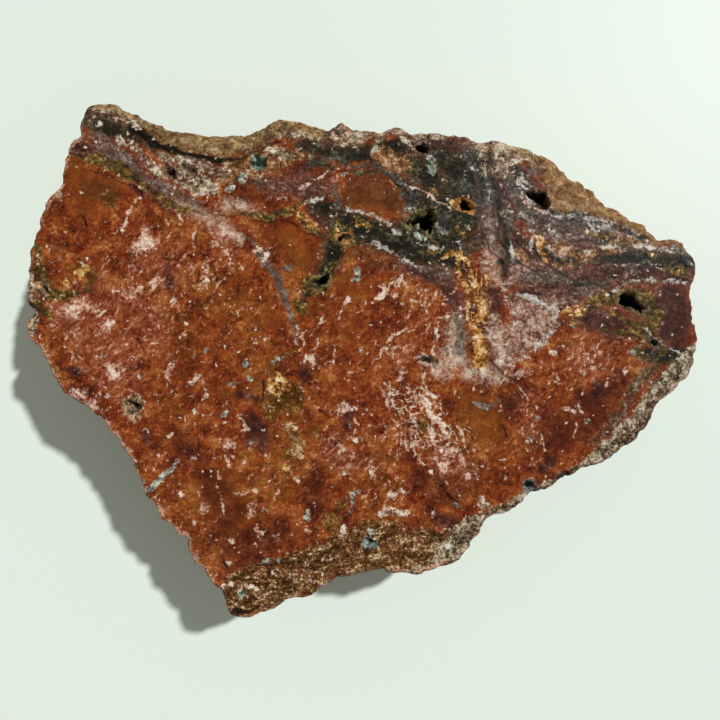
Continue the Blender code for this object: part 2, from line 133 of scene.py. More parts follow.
# Each kind of vein, as lines of (x, y, half width) in pixels. A line of one point is a round spot.
VEINS = {
    # Brownish dark stone round the moss, where red stone is stained through.
    "dusk": [
        [(300, 150, 7), (330, 150, 10), (360, 152, 10), (392, 156, 12), (420, 156, 16), (446, 168, 20),
         (460, 190, 24), (450, 214, 28), (424, 234, 26), (396, 240, 16), (366, 234, 14), (340, 226, 14),
         (318, 208, 9)], [(478, 150, 12), (488, 176, 14), (492, 205, 16), (496, 234, 12), (505, 256, 8)],
        [(335, 240, 9), (330, 266, 9), (318, 284, 10)],
        [(90, 120, 12), (112, 128, 14), (136, 136, 10), (156, 146, 7)],
        [(400, 248, 10), (440, 256, 10), (462, 266, 6)],
        [(516, 176, 10), (532, 200, 10), (560, 214, 9), (600, 224, 10), (640, 238, 10)],
        [(520, 256, 6), (560, 256, 9), (600, 256, 10), (640, 258, 11), (686, 262, 12)],
        [(640, 352, 8), (664, 358, 10), (686, 354, 9)], [(228, 172, 8), (252, 174, 10), (262, 184, 8)],
        [(592, 442, 2), (612, 426, 3), (626, 404, 4), (638, 380, 4), (660, 362, 4)],
        [(470, 244, 12), (486, 232, 10)], [(392, 150, 12), (420, 170, 14), (440, 190, 14)],
        [(440, 244, 12), (460, 250, 10)], [(310, 158, 6), (330, 168, 4)],
        [(300, 142, 5), (320, 143, 7), (338, 148, 6), (352, 154, 7), (368, 153, 7), (378, 147, 6),
         (396, 144, 6)], [(416, 138, 5), (440, 138, 5), (470, 144, 6)],
        [(474, 148, 8), (484, 168, 8), (500, 186, 8), (512, 178, 8)], [(500, 150, 6), (512, 146, 5)],
        [(530, 168, 4), (548, 172, 5)], [(590, 234, 5), (612, 238, 6), (630, 240, 7)],
        [(496, 224, 6), (500, 240, 6)], [(548, 246, 4), (566, 252, 5), (590, 252, 5)],
        [(324, 196, 5), (306, 200, 4)], [(330, 228, 4)],
        [(150, 140, 4), (176, 150, 5), (206, 159, 4), (240, 160, 4)],
    ],
    # Deep red stone.
    "deep red": [
        [(676, 288, 14), (680, 315, 15), (684, 340, 12)],
        [(540, 440, 16), (566, 430, 22), (600, 404, 20), (620, 380, 10)],
        [(348, 196, 5), (352, 184, 5), (370, 178, 4), (392, 182, 4), (404, 196, 4)],
        [(280, 160, 6), (310, 170, 10), (326, 182, 8), (300, 192, 8)], [(620, 274, 8), (650, 278, 6)],
        [(226, 556, 10), (250, 546, 14), (280, 530, 12)], [(390, 158, 7), (380, 166, 4)],
        [(232, 198, 6), (258, 196, 8), (276, 204, 5)], [(420, 478, 12), (450, 490, 14), (470, 480, 12)],
        [(180, 440, 10), (200, 460, 10)], [(520, 380, 8), (506, 410, 6)],
        [(320, 470, 8), (310, 500, 10), (330, 520, 6)], [(205, 480, 12), (230, 510, 14), (216, 540, 12)],
    ],
    # Dark green-black moss of chlorite, from the back edge down to the heart-shaped vug.
    "moss": [
        [(312, 203, 3), (330, 208, 8), (345, 222, 11), (365, 228, 11), (385, 236, 9), (404, 240, 12),
         (424, 236, 16), (444, 222, 19), (454, 205, 18), (460, 186, 15), (464, 170, 12), (472, 156, 9),
         (478, 148, 5)], [(376, 170, 3), (392, 176, 4), (406, 186, 7), (414, 198, 9), (422, 208, 11)],
        [(338, 236, 7), (334, 250, 6), (330, 264, 6), (322, 278, 8), (312, 286, 7), (304, 300, 4)],
        [(400, 248, 7), (420, 254, 9), (438, 259, 7), (454, 264, 4), (462, 274, 2)],
        [(480, 160, 6), (484, 178, 8), (492, 194, 7), (500, 212, 4), (506, 232, 4), (508, 252, 3),
         (504, 276, 3)], [(300, 146, 3), (330, 152, 5), (356, 156, 6), (372, 160, 5)],
        [(376, 142, 3), (396, 146, 6), (410, 140, 4)], [(436, 152, 5), (450, 164, 9)],
        [(334, 129, 3.4), (344, 129, 3.4)], [(352, 174, 2), (372, 172, 2)],
        [(648, 350, 5), (662, 357, 7), (680, 352, 6)], [(98, 124, 6), (112, 129, 6), (122, 134, 3)],
        [(134, 124, 5), (146, 136, 6), (158, 145, 5), (172, 149, 3)],
        [(604, 236, 4), (625, 240, 5), (648, 238, 5)],
        [(596, 258, 3), (618, 258, 6), (642, 259, 7), (664, 262, 7), (686, 262, 9)],
        [(514, 158, 3), (518, 172, 4), (522, 186, 4), (530, 200, 4), (548, 210, 5), (572, 212, 5),
         (600, 216, 4), (626, 224, 3)], [(500, 262, 3), (540, 258, 2), (572, 262, 3), (590, 258, 3)],
        [(548, 170, 3), (560, 178, 3)], [(486, 145, 3), (500, 148, 3)],
        [(438, 240, 12), (456, 236, 11), (470, 222, 9)], [(412, 166, 7), (432, 180, 9)],
        [(336, 128, 5), (344, 128, 5)], [(484, 144, 4), (500, 143, 4), (511, 146, 3)],
        [(283, 132, 3), (292, 136, 3)],
        [(520, 168, 1.4), (534, 167, 1.4), (546, 171, 2.6), (554, 174, 3.6)],
        [(626, 236, 4), (636, 240, 5)], [(512, 230, 2), (520, 240, 1.6), (532, 248, 1.4)],
        [(470, 176, 6), (474, 190, 5)], [(420, 144, 4), (434, 150, 3)], [(456, 176, 6), (462, 184, 6)],
        [(302, 140, 3), (318, 142, 3)], [(354, 148, 3), (366, 148, 3)],
        [(146, 138, 3.4), (160, 146, 4), (176, 152, 4), (192, 157, 2.4), (208, 160, 1.8), (230, 161, 2.2),
         (246, 158, 1.8)],
    ],
    # Blue-grey chalcedony that shows a little of what lies beneath.
    "grey vein": [
        [(246, 236, 1.6), (258, 252, 3), (269, 267, 4.2), (279, 280, 5.2), (283, 296, 4.6), (289, 309, 3),
         (293, 320, 2), (295, 333, 1.2), (296, 343, 1)], [(282, 270, 1.4), (292, 266, 2.2)],
        [(500, 402, 2), (490, 408, 2.5), (476, 404, 1.5)], [(456, 312, 3), (460, 335, 4.5), (458, 352, 4)],
    ],
    # Dark slate-grey chalcedony.
    "slate": [
        [(296, 173, 1.2), (304, 168, 2), (312, 164, 2.6), (322, 159, 3.4), (335, 157, 4), (345, 163, 3.4),
         (354, 168, 2.8), (364, 167, 2.4), (374, 165, 2.4), (384, 172, 3), (396, 178, 3), (408, 186, 3),
         (418, 196, 3)], [(334, 186, 2), (336, 196, 3), (338, 206, 3.4)], [(349, 183, 2), (356, 181, 1.4)],
        [(508, 180, 3), (512, 192, 3.4), (518, 202, 3.4), (526, 210, 3.4), (536, 215, 3)],
        [(520, 174, 3), (532, 172, 3)],
        [(546, 213, 3.4), (558, 216, 4), (570, 220, 4.2), (584, 222, 4.2), (598, 225, 3.4), (612, 229, 3)],
        [(484, 182, 5), (488, 192, 4.6), (482, 200, 3.6), (478, 212, 4)],
        [(506, 206, 2.4), (510, 216, 3), (513, 226, 2)], [(404, 196, 3), (411, 198, 3), (404, 210, 2.4)],
        [(674, 247, 3), (684, 252, 3)], [(464, 188, 6), (476, 190, 5)], [(596, 240, 2.4), (606, 245, 2.4)],
        [(466, 152, 4), (474, 166, 5), (480, 176, 4)],
        [(508, 272, 1.6), (524, 276, 1), (590, 284, 1), (602, 284, 2), (608, 288, 1.6)],
        [(488, 240, 2), (497, 252, 1.6)], [(640, 262, 2), (650, 264, 1.6)],
        [(436, 208, 4), (444, 218, 5), (440, 228, 4)],
    ],
    # Plain dark orange-brown stone.
    "amber": [
        [(348, 200, 8), (362, 194, 12), (380, 194, 14), (398, 204, 12)],
        [(352, 252, 6), (372, 258, 6), (390, 266, 5)], [(456, 330, 6), (456, 350, 6)],
        [(92, 188, 10), (112, 194, 7)],
    ],
    # Olive and ochre veins of iron-stained chlorite.
    "olive": [
        [(68, 153, 2), (86, 157, 4), (100, 161, 5.5), (116, 166, 6.5), (128, 173, 6), (138, 181, 4),
         (154, 192, 3), (168, 203, 4.5), (182, 210, 2.5), (207, 214, 1.2)],
        [(232, 213, 1.2), (250, 215, 2.5), (270, 216, 3), (284, 210, 3), (294, 209, 4), (300, 216, 3.5),
         (307, 225, 3.5), (317, 232, 3), (325, 237, 2.5)],
        [(272, 218, 1.5), (286, 213, 3), (300, 205, 2.5), (316, 200, 1.5), (332, 195, 1)],
        [(338, 192, 1), (338, 210, 1.2), (336, 228, 1.5), (334, 238, 3), (345, 246, 3.5), (358, 241, 2)],
        [(334, 262, 2), (331, 270, 1.6)], [(304, 279, 3), (306, 289, 4), (318, 292, 4), (328, 284, 3)],
        [(297, 301, 3), (302, 308, 5)],
        [(36, 247, 3.5), (37, 262, 4), (42, 278, 6), (47, 292, 8), (62, 296, 4.5), (78, 293, 3),
         (96, 290, 1.5)], [(37, 306, 5), (46, 316, 4)],
        [(573, 326, 3.5), (573, 317, 4), (584, 308, 4.5), (603, 302, 5), (617, 297, 6), (640, 302, 15),
         (655, 314, 9), (646, 328, 6)], [(590, 302, 2), (608, 296, 4), (622, 290, 4)],
        [(611, 314, 2), (630, 324, 3.5), (645, 330, 5), (653, 338, 8), (662, 350, 5)],
        [(600, 330, 1), (620, 333, 3), (640, 333, 4)], [(668, 268, 5), (684, 272, 5)],
        [(460, 206, 3), (468, 208, 2)], [(430, 236, 3), (436, 250, 3), (424, 255, 2)],
        [(590, 233, 2.4), (604, 236, 3.4), (616, 233, 2.4)],
        [(543, 247, 2), (550, 260, 2.4), (562, 263, 1.6)], [(430, 189, 3), (440, 193, 3.4)],
        [(350, 218, 2), (362, 224, 3), (374, 230, 2)], [(344, 226, 2), (352, 233, 2)],
        [(672, 264, 3), (682, 270, 3.4)], [(648, 255, 2), (656, 256, 2)], [(456, 228, 3), (466, 238, 3)],
        [(296, 204, 1.4), (310, 200, 1.4), (322, 196, 1.2), (332, 192, 1)],
        [(618, 292, 2), (646, 298, 3), (652, 306, 3)],
    ],
    # The bright gold band that runs down the middle, and gold rims of vugs.
    "gold": [
        [(440, 261, 1), (448, 256, 2.8), (455, 252, 3.8), (462, 258, 2.5)],
        [(458, 262, 1.1), (460, 275, 1.4), (464, 286, 1.4), (468, 300, 1.2), (468, 318, 1.5),
         (474, 330, 2.5)],
        [(464, 258, 1.2), (471, 269, 2.1), (475, 283, 2.5), (477, 295, 2.5), (482, 308, 3.8),
         (480, 320, 5)], [(477, 330, 5.8), (479, 345, 6.2), (481, 358, 7), (478, 369, 6)],
        [(464, 288, 1), (476, 292, 1.2)], [(452, 200, 2), (456, 205, 3)], [(484, 270, 1.8), (488, 284, 2)],
        [(532, 232, 1), (541, 239, 1.5), (541, 252, 2), (546, 262, 1.2)],
        [(296, 212, 1.5), (304, 222, 1.5)], [(574, 324, 2.2), (574, 316, 2), (584, 308, 1.5)],
        [(268, 380, 3), (272, 388, 5), (280, 394, 3.8)], [(278, 373, 3), (285, 382, 4.2), (291, 389, 3)],
        [(287, 468, 4.2)], [(76, 276, 2.5), (88, 268, 3.2)], [(66, 285, 3.2)],
        [(286, 206, 1.6), (296, 211, 2.2), (303, 218, 2.2), (309, 224, 2), (316, 229, 1.4)],
        [(302, 205, 1.2), (300, 211, 1.2)], [(452, 201, 2), (457, 206, 2.8), (462, 211, 2)],
        [(356, 222, 1.2), (364, 226, 1.4)], [(606, 237, 1.4)], [(676, 266, 1.6)], [(682, 272, 1.4)],
        [(652, 254, 1)], [(560, 313, 1.4), (576, 306, 1.4)], [(432, 190, 1.2)],
        [(546, 244, 1), (543, 251, 1.2), (549, 260, 1.2)], [(336, 229, 1.4), (338, 236, 1.8)],
    ],
    # Mauve and lilac clay-rich stone.
    "mauve": [
        [(96, 134, 5), (106, 146, 7), (118, 155, 8), (130, 162, 8.5), (140, 174, 8), (150, 184, 6),
         (162, 189, 5), (174, 194, 5), (188, 200, 4), (200, 206, 3)],
        [(140, 156, 5), (150, 166, 4), (160, 178, 3)],
        [(500, 226, 5), (520, 214, 8), (540, 222, 12), (562, 228, 13), (588, 234, 10), (612, 240, 5)],
        [(515, 190, 4), (506, 180, 6), (498, 190, 7), (494, 210, 9), (494, 232, 7)],
        [(540, 300, 4), (560, 302, 5), (576, 295, 8), (596, 290, 7), (606, 282, 4)],
        [(336, 214, 4), (340, 224, 3)], [(484, 205, 7), (486, 222, 7)],
        [(404, 262, 1.4), (420, 267, 2), (440, 270, 2), (452, 280, 1.4)],
        [(520, 276, 8), (546, 272, 10), (566, 276, 6)], [(606, 262, 3), (636, 250, 4), (668, 252, 3)],
        [(620, 258, 2), (650, 262, 2)], [(524, 222, 4), (534, 230, 5)], [(626, 264, 2), (634, 270, 3)],
        [(588, 242, 3), (604, 244, 3)], [(582, 290, 4), (590, 296, 3)],
    ],
    # A milky haze of chalcedony over the orange stone.
    "haze": [
        [(176, 198, 3), (190, 207, 5), (203, 216, 7), (214, 222, 8), (226, 230, 5), (240, 238, 3)],
        [(222, 206, 3), (240, 207, 4), (256, 210, 2)],
        [(454, 322, 5), (457, 345, 8), (450, 362, 9), (440, 370, 7)],
        [(470, 374, 6), (490, 372, 6), (505, 374, 4)], [(490, 262, 5), (494, 275, 6), (490, 245, 4)],
        [(500, 345, 8), (498, 330, 6)],
    ],
    # Orange stone among the red.
    "ochre": [
        [(75, 172, 12), (95, 190, 20), (120, 195, 14)],
        [(170, 230, 16), (210, 262, 20), (236, 300, 22), (250, 340, 18)],
        [(284, 244, 18), (330, 280, 22), (350, 320, 22), (372, 352, 16)],
        [(450, 392, 16), (486, 404, 24), (500, 430, 22), (470, 444, 16)],
        [(250, 370, 14), (300, 430, 18), (280, 480, 16)], [(396, 402, 8), (404, 430, 10), (420, 450, 10)],
        [(270, 500, 14), (240, 520, 12)], [(110, 290, 12), (90, 278, 8)], [(190, 470, 14), (200, 500, 12)],
        [(150, 300, 12), (180, 340, 14)],
    ],
    # Rosy, streaked stone at the left end.
    "rosy": [
        [(54, 304, 10), (76, 326, 20), (104, 350, 24), (124, 384, 14)],
        [(90, 292, 10), (128, 300, 15), (152, 326, 14), (160, 350, 10)], [(150, 258, 10), (176, 272, 10)],
        [(440, 452, 9), (462, 474, 8)], [(584, 360, 10), (600, 366, 10)], [(392, 360, 8), (410, 350, 8)],
        [(330, 450, 8), (350, 466, 8)], [(530, 398, 5), (534, 436, 6)], [(225, 236, 6), (232, 256, 6)],
    ],
    # Wine-red stone with many grains, on the right of the slab.
    "wine": [
        [(480, 172, 12), (492, 196, 18), (498, 228, 20), (512, 258, 18), (532, 280, 16), (566, 284, 16),
         (604, 276, 14), (650, 272, 12), (690, 276, 10)],
        [(520, 200, 14), (548, 224, 20), (590, 240, 18), (636, 248, 12), (670, 254, 10)],
        [(400, 262, 5), (424, 272, 7), (446, 284, 8), (458, 306, 7), (462, 336, 6), (456, 360, 5)],
        [(490, 300, 10), (492, 340, 10), (496, 362, 8)], [(586, 316, 12), (612, 324, 14), (640, 330, 8)],
        [(664, 300, 14), (668, 330, 12)],
        [(70, 146, 9), (96, 150, 9), (120, 160, 8), (146, 184, 6), (180, 202, 5)],
        [(268, 184, 8), (300, 184, 10), (326, 188, 6)], [(560, 262, 4), (600, 270, 6), (640, 272, 6)],
    ],
    # Dark red-purple stone.
    "maroon": [
        [(66, 148, 4), (76, 144, 5), (90, 149, 4)], [(130, 186, 2), (150, 198, 2.5), (168, 211, 2)],
        [(312, 208, 6), (324, 220, 7)], [(464, 264, 3.5), (468, 284, 4.5)],
        [(468, 296, 3.5), (474, 314, 4.5)], [(492, 288, 4), (496, 302, 5), (493, 313, 4)],
        [(484, 186, 5), (482, 202, 6), (486, 218, 5)], [(498, 200, 4), (502, 222, 5)],
        [(586, 318, 6), (602, 318, 8), (622, 326, 6), (634, 330, 4)], [(586, 328, 4), (612, 332, 3)],
        [(668, 296, 10), (668, 320, 10), (664, 338, 6)],
        [(560, 220, 4), (576, 222, 7), (592, 226, 6), (604, 230, 4)],
        [(410, 268, 5), (428, 274, 8), (446, 282, 9), (452, 298, 6)],
        [(520, 266, 5), (546, 284, 5), (566, 286, 5), (600, 276, 7), (630, 270, 6), (656, 272, 5),
         (688, 282, 4)], [(250, 414, 4), (258, 430, 10), (262, 444, 7)], [(440, 520, 7), (454, 524, 6)],
        [(404, 530, 3), (420, 552, 4)], [(144, 430, 5), (150, 445, 3)],
        [(462, 148, 9), (446, 142, 6), (432, 138, 4)], [(216, 164, 3), (236, 162, 3)],
        [(246, 420, 5), (254, 434, 8), (248, 444, 5)], [(487, 407, 3), (480, 405, 2)], [(470, 407, 2)],
        [(170, 286, 5), (168, 266, 2)], [(145, 443, 5)], [(300, 366, 4), (306, 376, 3)],
        [(76, 372, 5), (66, 370, 3)], [(240, 394, 5), (256, 398, 4)], [(550, 462, 6), (542, 470, 5)],
        [(600, 384, 6), (596, 396, 5)], [(350, 414, 5), (346, 424, 4)], [(576, 229, 4), (586, 234, 5)],
        [(498, 184, 5), (502, 194, 5)], [(500, 222, 4), (504, 232, 4)], [(650, 252, 3), (662, 255, 2.4)],
        [(600, 271, 4), (630, 272, 5), (656, 272, 5)], [(508, 240, 4), (514, 246, 4)],
        [(444, 150, 5), (456, 142, 5)], [(298, 192, 6), (316, 190, 5)], [(314, 212, 6), (322, 222, 6)],
        [(672, 300, 12), (678, 326, 12), (674, 344, 8)],
    ],
    # Pink and grey broken stone, healed with pale grains.
    "breccia": [
        [(516, 300, 9), (528, 318, 15), (520, 338, 15), (508, 356, 11), (498, 368, 6)],
        [(548, 300, 6), (552, 318, 8), (540, 340, 7)], [(494, 320, 6), (492, 340, 5)],
        [(506, 284, 5), (520, 266, 5), (540, 262, 4)], [(490, 240, 3), (498, 256, 4)],
        [(548, 250, 3), (580, 250, 3)],
    ],
    # The porous tan stone along the rim.
    "porous": [
        [(696, 358, 12), (686, 372, 16), (672, 390, 18), (658, 408, 19), (646, 426, 19), (630, 442, 19),
         (611, 458, 18), (595, 470, 15), (575, 482, 12), (551, 491, 10), (527, 500, 9), (504, 511, 8),
         (488, 520, 9)],
        [(500, 514, 6), (474, 528, 14), (462, 542, 16), (450, 556, 14), (438, 568, 10), (420, 576, 8)],
        [(84, 102, 8), (100, 104, 6), (124, 112, 5), (146, 124, 4)],
        [(28, 270, 5), (30, 300, 5), (34, 330, 4)], [(356, 134, 4), (384, 130, 4), (410, 132, 4)],
        [(264, 128, 6), (290, 120, 7), (316, 128, 6)], [(318, 133, 3), (330, 132, 3)],
        [(420, 134, 3), (440, 138, 2), (462, 141, 2)], [(480, 150, 3), (488, 158, 4), (496, 170, 4)],
        [(502, 156, 4)],
        [(330, 120, 5), (356, 126, 5), (384, 122, 5), (412, 126, 5), (440, 128, 5), (470, 132, 6),
         (500, 140, 6), (530, 144, 6)],
    ],
    # Cream, pink and tan grains round the vugs, and the rough crust of the rim.
    "crust": [
        [(100, 108, 3), (120, 115, 3), (138, 122, 2.5)],
        [(130, 144, 2), (142, 154, 3), (150, 164, 4), (158, 172, 4), (166, 170, 7), (184, 176, 11),
         (202, 184, 9), (214, 190, 5)], [(262, 142, 3), (276, 131, 7), (292, 128, 8), (308, 133, 6)],
        [(342, 136, 4), (356, 140, 5), (368, 136, 4)],
        [(476, 140, 3), (484, 150, 6), (496, 156, 9), (510, 152, 9), (526, 152, 8), (542, 158, 6)],
        [(486, 168, 5), (496, 172, 4)], [(268, 150, 3), (282, 153, 5), (294, 158, 3)],
        [(216, 150, 2), (206, 154, 1.6)], [(480, 498, 3), (484, 506, 4)],
        [(380, 514, 3), (392, 511, 3.5), (404, 512, 4)], [(56, 192, 3), (60, 196, 2)],
        [(128, 404, 7), (138, 404, 7)], [(38, 288, 6), (42, 292, 5)],
        [(158, 154, 3), (178, 160, 5), (204, 166, 5), (224, 173, 4)], [(118, 138, 2), (124, 146, 2)],
        [(330, 136, 3), (345, 142, 4), (360, 144, 3)], [(404, 136, 3), (414, 138, 3)],
        [(480, 148, 4), (488, 156, 6), (494, 166, 7), (500, 174, 6)], [(500, 153, 7), (508, 162, 6)],
        [(352, 141, 5)], [(412, 147, 2), (421, 145, 1.4)], [(433, 153, 2)], [(428, 141, 1.6)],
        [(404, 134, 3), (410, 138, 3)],
    ],
    # Brown grainy stone: the streaked band along the front, and the orange-brown stone at the back.
    "brown": [
        [(232, 608, 16), (246, 590, 24), (275, 584, 23), (305, 575, 24), (335, 564, 24), (365, 557, 23),
         (395, 557, 25), (425, 552, 24), (444, 542, 14)], [(338, 548, 14), (366, 532, 11), (392, 530, 8)],
    ],
    "rust": [
        [(196, 192, 5), (212, 182, 8), (228, 170, 9), (246, 160, 10), (268, 152, 8), (284, 153, 7),
         (297, 156, 5)], [(248, 176, 6), (270, 168, 6), (288, 160, 6)], [(380, 155, 8), (402, 162, 8)],
        [(536, 160, 6), (552, 164, 5)], [(560, 248, 4), (580, 258, 5), (604, 248, 4), (620, 250, 3)],
        [(612, 232, 4), (640, 246, 3)], [(478, 290, 4), (486, 300, 4), (486, 320, 4)],
        [(296, 440, 6), (300, 452, 6), (290, 428, 5)], [(512, 157, 4), (526, 160, 5), (540, 163, 4)],
        [(310, 136, 3)], [(376, 146, 3)], [(404, 160, 4), (410, 168, 3)], [(612, 242, 2.4), (620, 240, 2)],
        [(520, 252, 4), (526, 258, 4)], [(548, 262, 2), (566, 266, 2)],
    ],
    # Tan weathered skin, and the orange skin of the back right.
    "tan skin": [
        [(146, 126, 2.5), (160, 134, 6), (180, 140, 8), (205, 146, 9), (228, 146, 9), (248, 142, 8),
         (266, 136, 6)], [(268, 130, 5), (284, 124, 6), (304, 126, 5), (318, 134, 4)],
        [(520, 148, 4), (540, 156, 5), (552, 166, 4)],
        [(82, 104, 6), (98, 101, 6), (118, 106, 5), (136, 116, 4), (148, 126, 3)],
        [(150, 116, 5), (164, 126, 7), (184, 130, 7), (206, 134, 7), (230, 134, 7), (250, 130, 7),
         (266, 124, 6), (290, 114, 6), (312, 122, 6), (330, 124, 5)],
        [(76, 112, 4), (84, 100, 6), (100, 96, 5), (120, 100, 5), (140, 112, 5)],
    ],
    "orange skin": [
        [(548, 176, 6), (562, 184, 11), (578, 196, 12), (596, 206, 9), (616, 214, 7), (634, 222, 6),
         (654, 234, 5), (668, 238, 4)], [(552, 196, 8), (566, 206, 8)],
        [(294, 125, 2.4), (304, 127, 4), (314, 132, 3)], [(646, 240, 3), (656, 244, 3)],
        [(548, 156, 6), (562, 168, 8), (580, 180, 8), (600, 192, 8), (620, 202, 7), (640, 214, 7),
         (660, 226, 6), (676, 234, 5)],
    ],
    # Mustard-brown patches in the red stone.
    "mustard": [
        [(296, 346, 2), (288, 353, 3), (278, 360, 3.4), (270, 366, 3), (262, 374, 2.4)],
        [(272, 382, 5), (284, 386, 9), (294, 392, 9)], [(272, 404, 9), (284, 402, 12), (298, 400, 8)],
        [(272, 416, 7)], [(423, 424, 6.5)], [(292, 428, 4), (294, 438, 5), (298, 448, 3)],
        [(287, 455, 5.4)], [(287, 470, 5.6)], [(314, 424, 3), (316, 436, 3)], [(55, 367, 2.4)],
        [(40, 300, 4), (46, 312, 5)], [(184, 317, 2.6)], [(340, 504, 5), (330, 526, 6)],
        [(80, 266, 5), (92, 278, 5), (86, 289, 3)], [(108, 196, 6), (112, 204, 4)],
        [(136, 464, 2.4), (142, 468, 2)], [(268, 466, 2)],
    ],
    # Pale pink clouds.
    "pink": [
        [(62, 316, 4), (70, 310, 6.5), (78, 303, 6), (84, 298, 3.4)],
        [(145, 228, 2), (146, 236, 5.5), (150, 243, 5.5), (140, 246, 5), (134, 250, 3)],
        [(112, 366, 4), (114, 376, 4.4)], [(96, 308, 2), (90, 305, 2.4)],
        [(76, 390, 3), (90, 400, 3), (100, 410, 2)], [(452, 448, 5), (446, 462, 3)],
        [(222, 232, 2.4), (216, 242, 2.4)], [(126, 296, 3), (138, 288, 3)], [(136, 270, 3)],
        [(104, 330, 2.4), (112, 322, 2.4)], [(524, 374, 3)], [(588, 356, 2.4)], [(402, 372, 2)],
        [(250, 508, 2.4), (251, 514, 2)], [(340, 410, 3)], [(172, 366, 2.4), (168, 376, 2)],
        [(444, 466, 3)], [(228, 442, 3)], [(205, 508, 3)], [(392, 350, 2.4)], [(66, 312, 4), (76, 306, 5)],
        [(144, 236, 4), (147, 244, 5)],
    ],
    # Pale green and blue-green crystals.
    "teal": [
        [(238, 180, 2.2), (243, 177, 3.6), (247, 173, 2.2)], [(227, 190, 2.2), (233, 187, 2.2)],
        [(225, 177, 1.8)],
        [(362, 492, 1.3), (355, 492, 2.2), (350, 497, 2.3), (352, 506, 1.9), (349, 513, 2.6)],
        [(344, 530, 1.1)], [(307, 510, 1.4), (307, 520, 3.1)], [(262, 560, 1.7), (268, 560, 3.1)],
        [(278, 560, 2.2)], [(238, 594, 2.2), (245, 592, 2.9)],
        [(148, 492, 2.9), (155, 484, 2.2), (165, 475, 3.6), (172, 468, 1.2), (178, 461, 1.1)],
        [(210, 346, 1.1), (205, 350, 2.4), (201, 353, 1.2)], [(246, 364, 3.4)], [(248, 378, 2.6)],
        [(221, 417, 1.4), (226, 411, 1.4)], [(371, 531, 2.9)], [(367, 544, 2.6)],
        [(427, 160, 2.4), (431, 166, 4.1), (434, 174, 3.4)], [(373, 151, 1.9), (379, 147, 1.9)],
        [(357, 269, 3.4), (358, 276, 1.9), (353, 283, 2.4)], [(294, 154, 1.8)], [(519, 389, 2.2)],
        [(537, 417, 2.9)], [(531, 438, 3.1)], [(590, 422, 3.1)], [(633, 353, 2.9)], [(411, 210, 3.4)],
        [(268, 465, 2.2)], [(360, 350, 1.4)], [(454, 504, 2.2), (460, 508, 2.6)], [(104, 356, 1.9)],
        [(450, 548, 2.4)], [(636, 385, 1.4)], [(500, 362, 1.9)], [(436, 222, 2.4), (440, 230, 2)],
        [(420, 240, 2.4), (426, 241, 1.6)], [(262, 166, 2.4)], [(254, 158, 1.8)],
        [(428, 157, 3), (431, 165, 4.4), (433, 173, 4)],
        [(418, 223, 0.9), (417, 230, 1.8), (417, 236, 2.8)], [(424, 237, 2.2)],
        [(346, 174, 2.8), (340, 175, 1.2)], [(340, 186, 1)],
    ],
    # Cream quartz: branching threads, blots and single grains.
    "cream": [
        [(424, 372, 1.5), (426, 380, 1.5), (422, 386, 1), (428, 392, 2.2), (434, 394, 2.2), (440, 394, 2)],
        [(418, 395, 2), (424, 398, 2.2), (428, 402, 2.6), (430, 408, 2.6), (427, 413, 2.2), (434, 418, 2.6),
         (440, 422, 3), (444, 428, 3.4), (446, 434, 1.6)],
        [(434, 424, 1.5), (432, 432, 2), (430, 440, 1.5)], [(450, 445, 2.6), (454, 450, 3)],
        [(442, 452, 2.4)], [(432, 472, 2.4)], [(468, 476, 1.8)], [(388, 404, 1.6)],
        [(396, 425, 1.5), (400, 431, 1.5), (405, 436, 1.6), (412, 432, 1.8)],
        [(306, 356, 1.5), (312, 358, 3), (313, 365, 2)], [(333, 359, 1.5), (328, 363, 1.8)],
        [(345, 474, 2)], [(372, 466, 2), (371, 476, 1.8)], [(372, 461, 1.7)], [(298, 480, 2.2)],
        [(356, 440, 1.4), (362, 437, 1.5)], [(301, 388, 1.5)], [(318, 388, 1.7)], [(263, 429, 1.8)],
        [(392, 495, 3.8)], [(402, 491, 2.8)], [(379, 514, 2), (384, 509, 2), (392, 508, 2.4)],
        [(398, 510, 1.6), (407, 512, 2.8)], [(435, 514, 1.8)], [(230, 586, 3), (224, 587, 1.8)],
        [(246, 586, 1.5), (256, 590, 2)], [(273, 573, 2.6)], [(330, 558, 2.2)], [(312, 580, 1.6)],
        [(290, 576, 1.6)], [(308, 531, 1.8)], [(344, 526, 1.5), (344, 535, 1.7)], [(229, 563, 2)],
        [(276, 537, 1.8)], [(233, 541, 2.4)], [(226, 539, 1.3)], [(268, 512, 1.9)], [(262, 510, 1.2)],
        [(265, 503, 1.3)], [(261, 534, 1.5)], [(180, 494, 1.8)], [(200, 493, 1.5)], [(195, 458, 1.4)],
        [(193, 521, 1.8)], [(235, 456, 1.6)], [(225, 458, 1.5)], [(174, 302, 1.9)], [(47, 347, 1.8)],
        [(133, 358, 1.9)], [(140, 377, 1.7)], [(107, 397, 1.4)], [(73, 307, 1.8)], [(186, 324, 2.4)],
        [(186, 386, 1), (192, 382, 1.8), (198, 378, 2), (200, 374, 1)], [(206, 394, 2.4)],
        [(195, 411, 2.2)], [(253, 250, 3.2), (260, 248, 1.8)], [(266, 254, 2), (264, 262, 1.2)],
        [(232, 262, 2)], [(207, 279, 1.8), (207, 286, 2)],
        [(145, 233, 1.8), (148, 240, 2.6), (142, 245, 2), (136, 250, 1.8)], [(122, 230, 1.3)],
        [(554, 352, 3.2)], [(564, 348, 1.4)], [(585, 373, 2.6)], [(593, 369, 2.1)], [(627, 372, 2.6)],
        [(566, 408, 1.4), (571, 411, 1.5), (577, 414, 1.5)], [(581, 409, 1.4)], [(603, 426, 1.9)],
        [(519, 396, 1.5)], [(505, 476, 1.4)], [(487, 468, 1.2)], [(483, 499, 2.2)],
        [(380, 299, 2.3), (384, 293, 1.3)], [(395, 295, 2.4)], [(348, 299, 1.5), (344, 306, 1)],
